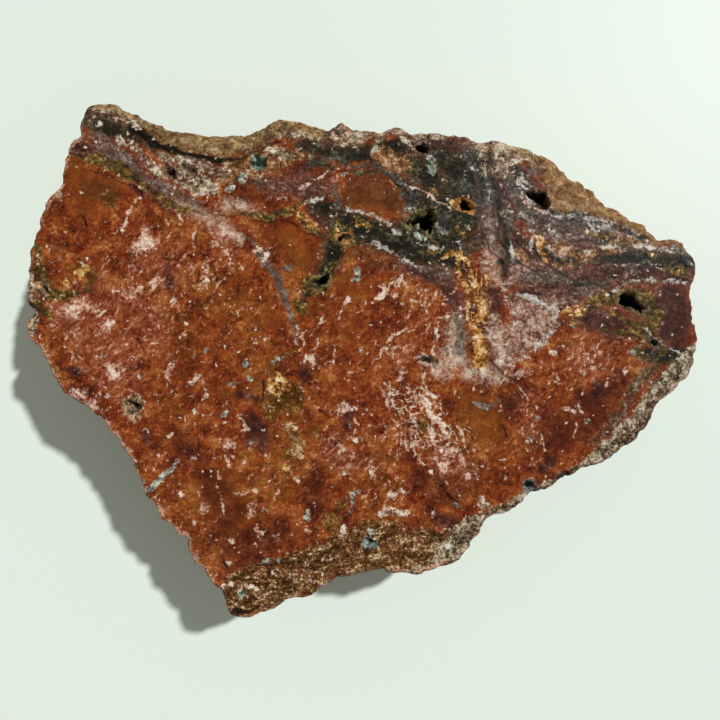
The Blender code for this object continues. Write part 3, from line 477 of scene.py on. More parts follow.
        [(436, 329, 1.8), (437, 338, 1.4)], [(429, 312, 1.2)], [(350, 372, 1.2)], [(101, 124, 2.2)],
        [(92, 116, 1.4)], [(118, 118, 1.8)], [(133, 123, 1.6), (140, 130, 1.8)], [(474, 168, 1.6)],
        [(478, 160, 1.2)], [(588, 305, 1.6)], [(663, 324, 1)], [(619, 265, 1)], [(628, 260, 1)],
        [(638, 260, 1)], [(586, 232, 1.2)], [(143, 238, 2.6), (149, 243, 3.2), (140, 248, 2.4)],
        [(68, 312, 2.2), (78, 302, 2)], [(452, 450, 2.4)],
    ],
    # Cream threads of quartz.
    "thread": [
        [(440, 394, 0.8), (441, 402, 0.6), (441, 410, 0.4)], [(436, 444, 0.7), (430, 440, 1)],
        [(414, 430, 1), (418, 435, 0.8), (424, 440, 0.6)],
        [(413, 442, 1), (420, 446, 0.7), (428, 444, 0.7)],
        [(413, 442, 0.7), (415, 452, 0.6), (412, 462, 0.4)], [(414, 402, 0.7), (418, 396, 0.8)],
        [(389, 396, 0.7), (388, 404, 1), (391, 412, 0.7), (392, 420, 0.8), (396, 425, 0.8)],
        [(400, 398, 0.7), (404, 404, 0.5), (402, 412, 0.5), (400, 422, 0.6), (400, 431, 0.7)],
        [(396, 438, 0.7), (398, 448, 0.7), (396, 458, 0.4)], [(405, 436, 0.7), (408, 446, 0.5)],
        [(404, 404, 0.5), (412, 408, 0.6), (420, 404, 0.7)],
        [(416, 414, 0.5), (410, 424, 0.5), (412, 432, 0.7)], [(446, 434, 0.8), (452, 440, 0.7)],
        [(458, 424, 0.6), (460, 434, 0.6), (464, 446, 0.5), (470, 456, 0.3)],
        [(409, 322, 0.8), (405, 329, 0.7), (400, 334, 0.7), (392, 336, 0.8), (388, 341, 0.7),
         (385, 347, 0.7), (382, 353, 0.7), (380, 360, 0.5), (372, 364, 0.4)],
        [(386, 350, 0.9), (389, 355, 0.9), (393, 352, 0.9), (393, 358, 0.6)],
        [(376, 340, 0.7), (376, 346, 0.6)], [(406, 369, 0.5), (400, 376, 0.7), (396, 382, 0.5)],
        [(384, 384, 1), (391, 386, 0.8)], [(410, 312, 0.6), (409, 322, 0.8), (413, 330, 0.7)],
        [(436, 344, 0.8), (432, 352, 0.5)],
        [(404, 272, 0.8), (401, 277, 0.7), (397, 281, 0.8), (389, 284, 0.7), (385, 289, 1),
         (382, 296, 1.1)], [(378, 286, 0.9), (384, 288, 0.8)], [(397, 281, 0.7), (400, 287, 0.5)],
        [(404, 280, 0.4), (407, 287, 0.4)],
        [(428, 286, 0.8), (426, 296, 0.8), (424, 306, 0.7), (428, 314, 0.8)],
        [(434, 300, 0.6), (438, 292, 0.4)], [(436, 316, 1), (446, 317, 0.8), (458, 313, 0.6)],
        [(444, 300, 0.5), (450, 293, 0.6), (458, 288, 0.5)],
        [(424, 306, 0.6), (416, 302, 0.4), (408, 300, 0.4)], [(437, 338, 0.8), (434, 346, 0.7)],
        [(348, 297, 0.8), (343, 305, 0.7), (340, 312, 0.7), (336, 320, 0.5)],
        [(324, 312, 0.7), (322, 320, 0.8), (318, 328, 0.6)],
        [(320, 340, 0.7), (316, 346, 0.7), (311, 352, 0.6)],
        [(304, 330, 0.6), (301, 335, 0.9), (303, 342, 0.8), (298, 350, 0.7)],
        [(314, 370, 0.6), (313, 364, 0.8)], [(334, 344, 0.7), (335, 353, 1), (333, 359, 0.8)],
        [(350, 361, 1), (350, 369, 1)], [(345, 401, 0.6), (341, 405, 0.5)],
        [(316, 380, 0.7), (309, 384, 0.7), (312, 389, 0.5)], [(350, 437, 0.7), (356, 440, 0.9)],
        [(339, 455, 0.7), (340, 449, 0.7), (345, 452, 0.7), (344, 458, 0.6)],
        [(366, 425, 0.4), (381, 425, 0.5)],
        [(240, 418, 0.8), (244, 425, 1), (248, 428, 0.8), (241, 432, 0.7)],
        [(310, 336, 0.5), (316, 328, 0.5), (326, 322, 0.4)], [(366, 300, 0.4), (360, 312, 0.3)],
        [(163, 270, 0.7), (157, 275, 0.7), (153, 283, 0.8), (150, 291, 0.6)],
        [(143, 212, 0.6), (142, 222, 0.7), (145, 231, 1)],
        [(140, 196, 0.6), (133, 206, 0.7), (128, 214, 0.7), (121, 229, 0.7)],
        [(174, 186, 0.4), (170, 198, 0.4)], [(112, 234, 0.7), (118, 229, 0.8), (122, 225, 0.6)],
        [(164, 218, 0.5), (168, 228, 0.6)], [(178, 212, 0.5), (182, 224, 0.6)],
        [(196, 224, 0.6), (192, 236, 0.6), (195, 246, 0.7)],
        [(210, 232, 0.6), (215, 240, 0.7), (222, 232, 0.7)], [(224, 250, 0.6), (228, 258, 0.7)],
        [(204, 252, 0.6), (210, 262, 0.7)], [(184, 254, 0.5), (180, 264, 0.5)],
        [(240, 262, 0.5), (246, 272, 0.5)], [(200, 380, 0.7), (203, 386, 0.7), (206, 392, 0.7)],
        [(203, 400, 0.7), (206, 396, 0.8)], [(70, 349, 1), (73, 356, 1.1), (72, 366, 1.1)],
        [(77, 353, 0.7), (84, 359, 0.7)], [(66, 338, 0.7), (71, 331, 0.6)],
        [(150, 344, 0.6), (158, 345, 0.5)], [(96, 318, 0.5), (104, 312, 0.4)],
        [(120, 334, 0.5), (126, 326, 0.4)], [(212, 452, 0.7), (215, 462, 0.6)],
        [(217, 470, 0.7), (219, 480, 0.6)],
        [(218, 486, 0.6), (223, 496, 0.7), (222, 508, 0.7), (225, 516, 0.7)],
        [(232, 492, 0.7), (240, 494, 0.8), (248, 492, 0.7), (256, 489, 0.5)],
        [(240, 470, 0.8), (245, 477, 1), (252, 474, 0.7)],
        [(210, 522, 0.5), (218, 518, 0.7), (224, 514, 0.5)],
        [(258, 524, 0.8), (257, 530, 0.8), (261, 535, 0.8)], [(166, 438, 0.6), (171, 434, 0.7)],
        [(186, 424, 0.7), (184, 416, 0.6)], [(140, 430, 0.7), (146, 426, 0.7), (148, 434, 0.6)],
        [(222, 456, 0.7), (230, 462, 0.7), (228, 470, 0.6)], [(290, 470, 0.3), (296, 478, 0.4)],
        [(554, 372, 0.5), (562, 384, 0.7), (555, 380, 0.6)], [(583, 386, 0.7), (582, 395, 0.6)],
        [(577, 422, 0.7), (576, 430, 0.7), (575, 439, 0.8)], [(596, 344, 0.6), (598, 353, 0.7)],
        [(584, 348, 0.7), (590, 353, 0.7)], [(572, 357, 0.7), (577, 354, 0.7)],
        [(606, 388, 0.7), (609, 382, 0.5)], [(541, 432, 0.7), (543, 442, 0.7), (546, 451, 0.7)],
        [(537, 404, 0.7), (538, 411, 0.7)], [(534, 424, 0.9), (532, 431, 0.8)],
        [(524, 404, 0.6), (526, 411, 0.6)], [(524, 370, 1.1), (525, 379, 0.8)],
        [(516, 384, 0.7), (524, 392, 0.7), (527, 401, 0.7)], [(488, 384, 0.7), (486, 392, 0.6)],
        [(474, 386, 0.9), (472, 391, 0.7)], [(508, 372, 0.7), (500, 383, 0.7), (509, 386, 0.7)],
        [(447, 358, 0.4), (440, 366, 0.6), (434, 366, 0.7)], [(456, 390, 0.5), (452, 398, 0.4)],
        [(448, 478, 0.5), (449, 490, 0.7)], [(500, 460, 0.5), (506, 459, 0.8)],
        [(480, 480, 0.5), (474, 474, 0.7)], [(420, 462, 0.7), (426, 466, 0.6)],
        [(352, 404, 0.5), (358, 410, 0.6)], [(330, 408, 0.6), (333, 416, 0.6)],
        [(354, 418, 0.5), (358, 424, 0.6)], [(326, 428, 0.7), (322, 432, 0.6)],
        [(304, 456, 0.8), (300, 460, 0.7)], [(380, 296, 0.5), (372, 306, 0.4)],
        [(298, 189, 0.8), (304, 186, 0.6), (312, 183, 0.7)], [(318, 178, 0.7), (325, 172, 0.8)],
        [(388, 180, 0.6), (394, 186, 0.8), (399, 189, 0.6)],
        [(404, 184, 0.4), (414, 188, 0.5), (424, 192, 0.5), (432, 197, 0.5), (437, 202, 0.6),
         (444, 203, 0.6)], [(446, 204, 0.5), (451, 208, 0.5)],
        [(468, 197, 0.5), (474, 204, 0.7), (470, 212, 0.6), (464, 212, 0.5)], [(587, 231, 1.2)],
        [(583, 238, 0.9)], [(628, 259, 1.2)], [(633, 258, 0.9)], [(638, 261, 0.9)], [(618, 264, 0.9)],
        [(474, 168, 1.3)], [(467, 150, 1.4)], [(478, 180, 1)], [(470, 181, 1)], [(509, 183, 1.1)],
        [(464, 172, 0.8)],
        [(519, 196, 0.5), (525, 202, 0.6), (532, 208, 0.6), (540, 210, 0.6), (547, 211, 0.5)],
        [(628, 272, 0.5), (626, 278, 0.5)], [(624, 273, 0.5), (628, 279, 0.5)], [(649, 272, 1.2)],
        [(661, 295, 1.2)], [(590, 305, 1.8)],
    ],
    # Thin pale seams, and painted glints: the bright silvery line along the back right, where the stone
    # shines.
    "pale seam": [
        [(346, 209, 0.7), (360, 212, 0.9), (372, 215, 0.8), (383, 220, 1), (393, 228, 1), (400, 235, 0.8)],
        [(332, 194, 0.6), (318, 199, 0.5), (302, 203, 0.4)],
        [(418, 243, 0.5), (428, 247, 0.6), (440, 249, 0.7), (448, 247, 0.6)],
        [(460, 241, 0.6), (461, 250, 0.6)], [(400, 258, 0.5), (412, 262, 0.6), (420, 266, 0.5)],
        [(358, 244, 0.7), (370, 244, 1), (380, 245, 2.1), (388, 247, 2), (394, 253, 1.2), (400, 258, 0.7)],
        [(518, 176, 0.8), (521, 188, 1), (528, 200, 1.1), (541, 210, 1.2), (556, 216, 1.4), (574, 219, 1.3),
         (592, 220, 1.3), (614, 223, 1), (644, 231, 0.8)],
        [(590, 218, 1.2), (600, 221, 1.6), (616, 224, 1)],
        [(582, 253, 0.6), (600, 248, 0.8), (622, 246, 0.7), (646, 246, 0.8), (668, 249, 0.7),
         (686, 254, 0.5)],
        [(606, 296, 0.5), (622, 285, 0.7), (640, 280, 0.7), (660, 280, 0.7), (691, 285, 0.7)],
        [(500, 180, 0.6), (504, 200, 0.5), (512, 214, 0.5)], [(128, 138, 0.7), (136, 144, 0.9)],
        [(156, 138, 0.5), (178, 143, 0.5), (190, 150, 0.7), (206, 155, 0.8)],
        [(506, 298, 1.2), (522, 296, 1.8), (538, 302, 2), (550, 310, 2), (557, 320, 1.5)],
        [(556, 326, 1.5), (546, 334, 2.1), (536, 346, 1.8), (526, 358, 1.5)],
        [(646, 328, 0.7), (660, 342, 0.7), (678, 352, 0.6)], [(470, 372, 1.4), (484, 374, 1.5)],
        [(502, 360, 1.7)], [(576, 318, 0.6), (574, 328, 0.7)], [(228, 384, 1.7), (238, 384, 1.8)],
        [(76, 387, 2)], [(414, 357, 0.8), (424, 356, 0.8), (432, 358, 0.7)],
        [(296, 318, 0.6), (298, 334, 0.6), (295, 345, 0.5)],
        [(266, 370, 0.6), (274, 362, 0.7), (284, 356, 0.7)],
        [(548, 230, 0.4), (560, 236, 0.4), (572, 234, 0.3)],
        [(524, 222, 0.3), (532, 236, 0.4), (530, 250, 0.3)], [(620, 266, 0.4), (640, 265, 0.4)],
        [(508, 236, 0.4), (514, 250, 0.4), (512, 264, 0.3)],
        [(512, 172, 0.7), (519, 170, 0.8), (524, 177, 0.9), (528, 184, 0.8), (531, 188, 0.6)],
        [(558, 213, 0.7), (572, 216, 0.8), (590, 219, 0.8), (604, 219, 0.9), (616, 223, 0.8),
         (630, 231, 0.7), (640, 232, 0.7)],
        [(520, 214, 1.2), (532, 219, 1.6), (542, 225, 1.4), (550, 225, 1)],
        [(600, 229, 0.6), (608, 226, 0.9), (614, 226, 0.7)],
        [(620, 251, 0.6), (628, 248, 0.9), (640, 247, 0.7), (656, 249, 0.7), (672, 252, 0.7)],
        [(588, 222, 0.8), (597, 229, 0.6)],
    ],
    # Thin dark seams and cracks, and painted shade: the black marks in the mouths of the vugs.
    "dark seam": [
        [(130, 128, 2), (142, 136, 3.1), (156, 144, 3.4), (174, 151, 3.1), (191, 156, 2.1), (207, 159, 1.7),
         (229, 160, 2), (245, 157, 1.6), (258, 150, 1.1), (272, 143, 0.9), (290, 141, 0.7)],
        [(508, 284, 0.5), (520, 290, 0.6), (534, 294, 0.7), (550, 296, 0.7), (566, 292, 0.6),
         (580, 286, 0.6), (596, 284, 0.5)],
        [(503, 284, 0.7), (514, 290, 0.7), (530, 296, 0.7), (544, 308, 0.9), (556, 318, 1.1),
         (562, 326, 0.9)], [(596, 284, 0.7), (608, 291, 0.9), (612, 300, 0.7)],
        [(480, 232, 0.9), (490, 250, 0.7), (502, 262, 0.9), (504, 276, 0.7)],
        [(610, 286, 0.5), (630, 279, 0.5), (652, 277, 0.5), (690, 281, 0.5)],
        [(159, 258, 0.5), (172, 259, 0.6), (184, 263, 0.5)],
        [(200, 321, 0.5), (205, 327, 0.6), (211, 330, 0.4)],
        [(117, 272, 0.6), (121, 276, 0.8), (125, 279, 0.6)],
        [(496, 423, 0.5), (502, 426, 0.7), (505, 432, 0.9), (508, 438, 1.1)],
        [(466, 428, 0.5), (470, 434, 0.5), (474, 441, 0.6), (476, 448, 0.6), (482, 452, 0.8),
         (490, 454, 1)], [(68, 379, 0.6), (74, 378, 0.8), (82, 380, 0.7)],
        [(88, 392, 0.6), (94, 398, 0.8), (100, 402, 0.5)], [(112, 404, 0.5), (118, 408, 0.5)],
        [(66, 330, 0.5), (74, 324, 0.6), (80, 321, 0.5)],
        [(246, 300, 0.5), (258, 302, 0.5), (268, 305, 0.4)],
        [(60, 298, 0.5), (72, 295, 0.7), (84, 291, 0.7), (98, 286, 0.5)],
        [(564, 210, 0.7), (570, 206, 0.5)], [(576, 199, 0.7), (590, 208, 0.9)],
        [(606, 322, 0.6), (618, 330, 0.6), (640, 338, 0.6)], [(82, 214, 0.9), (86, 226, 1.2)],
        [(222, 560, 1.7), (226, 568, 1.6)], [(140, 457, 0.9), (143, 461, 0.8)],
        [(232, 611, 3.9), (246, 612, 2.7), (258, 607, 1.2)],
        [(84, 168, 0.5), (106, 173, 0.7), (126, 183, 0.7), (146, 192, 0.5)],
        [(248, 219, 0.5), (266, 221, 0.5), (284, 220, 0.5), (298, 226, 0.5), (314, 235, 0.5)],
        [(127, 401, 0.9), (132, 404, 1.2), (137, 405, 0.6)], [(126, 411, 0.6), (130, 416, 0.7)],
        [(140, 409, 0.6)], [(42, 286, 0.6), (46, 290, 0.9), (46, 294, 0.6)], [(312, 361, 0.9)],
        [(393, 494, 0.8)], [(206, 394, 0.6)], [(554, 352, 0.6)], [(436, 472, 0.7)], [(445, 448, 0.7)],
        [(84, 358, 0.6)], [(533, 418, 1)], [(519, 386, 0.6)],
        [(238, 565, 0.6), (262, 564, 0.7), (282, 562, 0.7), (302, 561, 0.6), (322, 560, 0.5)],
        [(226, 578, 0.5), (242, 578, 0.5), (256, 581, 0.5)],
        [(280, 578, 0.6), (286, 583, 0.9), (294, 588, 0.7)],
        [(262, 594, 0.6), (272, 589, 0.5), (284, 592, 0.6), (296, 590, 0.5)],
        [(302, 568, 0.4), (318, 566, 0.5), (334, 563, 0.4)],
        [(312, 552, 0.4), (326, 550, 0.4), (342, 550, 0.4)], [(370, 539, 1.1), (373, 544, 1.2)],
        [(327, 553, 1.2)], [(443, 532, 0.9)], [(458, 534, 0.9)], [(436, 541, 1.1), (442, 543, 0.7)],
        [(432, 547, 0.7)], [(468, 530, 0.7)], [(462, 514, 0.7)], [(470, 516, 0.6)], [(458, 551, 0.8)],
        [(424, 560, 0.7)], [(448, 556, 0.6)], [(478, 522, 0.7)],
        [(488, 358, 0.7), (494, 364, 0.9), (498, 370, 1), (504, 374, 0.8), (512, 378, 0.6)],
        [(436, 484, 0.5), (444, 490, 0.6), (452, 498, 0.8), (459, 503, 0.7)], [(372, 133, 1)],
        [(396, 246, 0.9), (406, 246, 1.2)], [(646, 398, 0.8)], [(636, 410, 0.8)], [(652, 382, 0.9)],
        [(664, 384, 0.7)], [(640, 424, 0.8)], [(626, 436, 0.7)], [(560, 470, 0.8)], [(578, 458, 0.8)],
        [(566, 462, 0.5)], [(604, 452, 0.6)], [(672, 372, 0.8)], [(660, 366, 0.6)], [(276, 399, 0.5)],
        [(265, 404, 0.5)], [(273, 416, 0.5)], [(292, 431, 0.6), (296, 437, 0.6)], [(295, 446, 0.8)],
        [(287, 456, 0.7)], [(281, 434, 0.5)], [(262, 380, 0.5), (264, 392, 0.6), (261, 402, 0.5)],
        [(320, 408, 0.6), (325, 413, 0.8), (330, 419, 0.5)], [(362, 440, 0.5), (370, 443, 0.5)],
        [(304, 384, 0.5), (308, 378, 0.5)], [(104, 345, 0.9), (112, 342, 0.7)],
        [(90, 296, 0.5), (95, 304, 0.5)], [(176, 296, 0.5), (172, 288, 0.5)],
        [(200, 272, 0.5), (196, 282, 0.5)], [(214, 270, 0.4), (220, 282, 0.4)],
        [(150, 310, 0.4), (156, 316, 0.5)], [(516, 236, 0.5), (520, 246, 0.6), (530, 254, 0.5)],
        [(540, 232, 0.5), (556, 226, 0.5), (566, 230, 0.4)],
        [(498, 300, 0.6), (505, 312, 0.5), (504, 326, 0.5)], [(656, 266, 0.6), (676, 266, 0.6)],
        [(388, 176, 0.5), (396, 184, 0.7), (404, 188, 0.5)],
        [(312, 162, 0.5), (330, 168, 0.5), (344, 172, 0.5)],
        [(308, 277, 1.1), (314, 281, 1.2), (320, 284, 1.2), (326, 277, 1.2), (330, 272, 0.8)],
        [(314, 281, 0.8), (311, 288, 0.7)], [(323, 284, 1), (327, 290, 0.9)],
        [(544, 250, 2), (552, 255, 2.8), (561, 262, 2)],
        [(497, 180, 0.8), (500, 198, 0.9), (499, 216, 0.9), (498, 238, 0.9), (508, 252, 0.8),
         (522, 264, 0.7), (540, 272, 0.6)],
        [(530, 240, 0.7), (543, 262, 0.7), (560, 272, 0.6), (580, 284, 0.6)],
        [(508, 196, 0.6), (514, 212, 0.6), (528, 224, 0.5)],
        [(576, 240, 0.6), (596, 242, 0.6), (616, 240, 0.6)],
        [(584, 268, 0.5), (604, 264, 0.6), (624, 268, 0.5)],
        [(424, 236, 0.7), (434, 246, 0.7), (446, 254, 0.6)],
        [(352, 226, 0.7), (368, 232, 0.8), (384, 240, 0.6)],
        [(600, 330, 0.6), (624, 336, 0.6), (644, 344, 0.6)], [(348, 132, 0.8)], [(330, 136, 0.7)],
        [(400, 134, 0.8)], [(294, 130, 0.8)], [(280, 136, 0.6)], [(312, 134, 0.7)],
        [(176, 154, 0.6), (196, 160, 0.6), (214, 166, 0.5)], [(200, 172, 0.8)], [(206, 180, 0.7)],
        [(196, 186, 0.6)], [(214, 176, 0.5)], [(494, 160, 0.8)], [(506, 156, 0.8)], [(500, 168, 0.6)],
        [(518, 158, 0.7)], [(530, 156, 0.6)], [(333, 249, 1.2), (338, 252, 1.7), (344, 256, 1.1)],
        [(128, 403, 1.8)], [(137, 404, 1.3)], [(131, 413, 1.2)],
        [(414, 146, 2), (421, 149, 3), (428, 151, 3), (435, 153, 2)],
        [(418, 142, 0.9), (426, 141, 1), (431, 143, 0.9)],
        [(341, 236, 1.8), (347, 238, 2.4), (353, 236, 2.2), (357, 234, 1.4)],
        [(338, 245, 1.1), (339, 252, 1.6), (337, 258, 1.1)],
        [(310, 279, 1.6), (316, 281, 2), (322, 281, 1.8), (327, 276, 1.6), (331, 271, 1)],
        [(316, 284, 1.2), (318, 289, 1)], [(165, 162, 2), (171, 169, 3), (176, 175, 2.2)],
        [(184, 164, 1.6), (189, 168, 2.6), (195, 172, 1.8)], [(205, 172, 1.1), (211, 178, 1.1)],
        [(205, 186, 0.9)], [(417, 361, 0.7), (423, 359, 1.4), (429, 360, 1.6), (434, 364, 1.1)],
        [(129, 403, 1.4), (134, 405, 1.8), (138, 404, 1)], [(127, 412, 1), (131, 414, 1.3)],
        [(45, 287, 1.2), (48, 292, 1)],
    ],
    # Where the edge of the sawn face is chipped.
    "chipped": [
        [(30, 318, 10), (50, 356, 12), (90, 396, 14), (126, 430, 14), (148, 480, 14), (176, 530, 14),
         (206, 576, 12)], [(400, 568, 10), (440, 566, 8)], [(74, 140, 8), (64, 168, 8), (44, 214, 8)],
    ],
    # Where the stone has no grains in it at all.
    "smooth": [
        [(75, 172, 8), (90, 185, 16), (108, 190, 14), (120, 185, 8)], [(80, 205, 12), (95, 200, 12)],
        [(356, 196, 8), (374, 198, 14), (392, 202, 10)],
        [(270, 230, 6), (290, 238, 13), (306, 250, 11), (300, 262, 8)],
        [(676, 290, 12), (678, 312, 13), (680, 336, 11)], [(272, 320, 8)], [(348, 282, 8), (366, 292, 8)],
        [(214, 182, 3)], [(560, 436, 10), (590, 410, 10)], [(212, 500, 14), (236, 520, 14), (230, 480, 12)],
        [(470, 400, 10), (490, 430, 12)],
    ],
    # Where pale threads form a net.
    "net": [
        [(392, 392, 9), (410, 404, 14), (424, 420, 20), (440, 444, 16), (454, 462, 9)],
        [(424, 374, 4), (426, 390, 7)], [(334, 446, 5), (346, 462, 5)],
    ],
    # Where pink and cream grains crowd.
    "crowded": [
        [(60, 300, 12), (90, 320, 22), (120, 350, 24), (110, 390, 16)],
        [(110, 272, 14), (140, 290, 22), (170, 320, 20)], [(180, 250, 12), (210, 270, 18), (220, 250, 12)],
        [(392, 430, 12), (412, 440, 16), (440, 460, 20)], [(430, 300, 12), (430, 330, 16), (410, 345, 14)],
        [(336, 446, 8), (348, 458, 8)], [(575, 360, 14), (600, 370, 16), (590, 350, 10)],
        [(280, 190, 14), (320, 180, 12)], [(530, 400, 8), (530, 440, 8)], [(400, 492, 7)],
    ],
}

# The linings of vugs and pockets: x, y in pixels, colour, how fast painted shade darkens it to black inside,
# per mm, and how far round it the lining reaches where the rim opens a pocket, in pixels. Those in ROOMY hold
# crystals.
LININGS = [
    (170, 170, (0.16, 0.09, 0.045), 0.9, 0), (190, 170, (0.16, 0.09, 0.045), 0.9, 0),
    (259, 162, (0.15, 0.22, 0.17), 0.0, 9), (425, 149, (0.20, 0.13, 0.10), 0.5, 11),
    (422, 223, (0.20, 0.17, 0.06), 0.20, 0), (347, 237, (0.34, 0.17, 0.04), 0.6, 0),
    (338, 252, (0.24, 0.13, 0.04), 0.6, 0), (319, 280, (0.20, 0.17, 0.04), 0.5, 0),
    (540, 198, (0.22, 0.17, 0.15), 0.9, 9), (465, 205, (0.40, 0.17, 0.03), 0.45, 0),
    (553, 256, (0.20, 0.10, 0.03), 0.7, 0), (631, 302, (0.14, 0.09, 0.04), 0.6, 0),
    (651, 341, (0.10, 0.08, 0.04), 0.5, 0), (426, 361, (0.50, 0.33, 0.25), 0.2, 0),
    (133, 408, (0.40, 0.25, 0.14), 0.1, 10), (44, 290, (0.34, 0.21, 0.11), 0.2, 9),
    (530, 486, (0.16, 0.19, 0.18), 0.1, 8), (561, 474, (0.08, 0.06, 0.04), 0.6, 7),
    (369, 543, (0.15, 0.19, 0.16), 0.15, 5), (328, 552, (0.08, 0.07, 0.04), 0.4, 0),
]
ROOMY = (0, 1, 3, 4, 8, 11, 12, 13)

# Near-black, for the painted shade deep in the vugs and at their mouths.
BLACK = (0.004, 0.003, 0.003)
CREAM = (0.80, 0.62, 0.48)
PINK = (0.48, 0.155, 0.070)

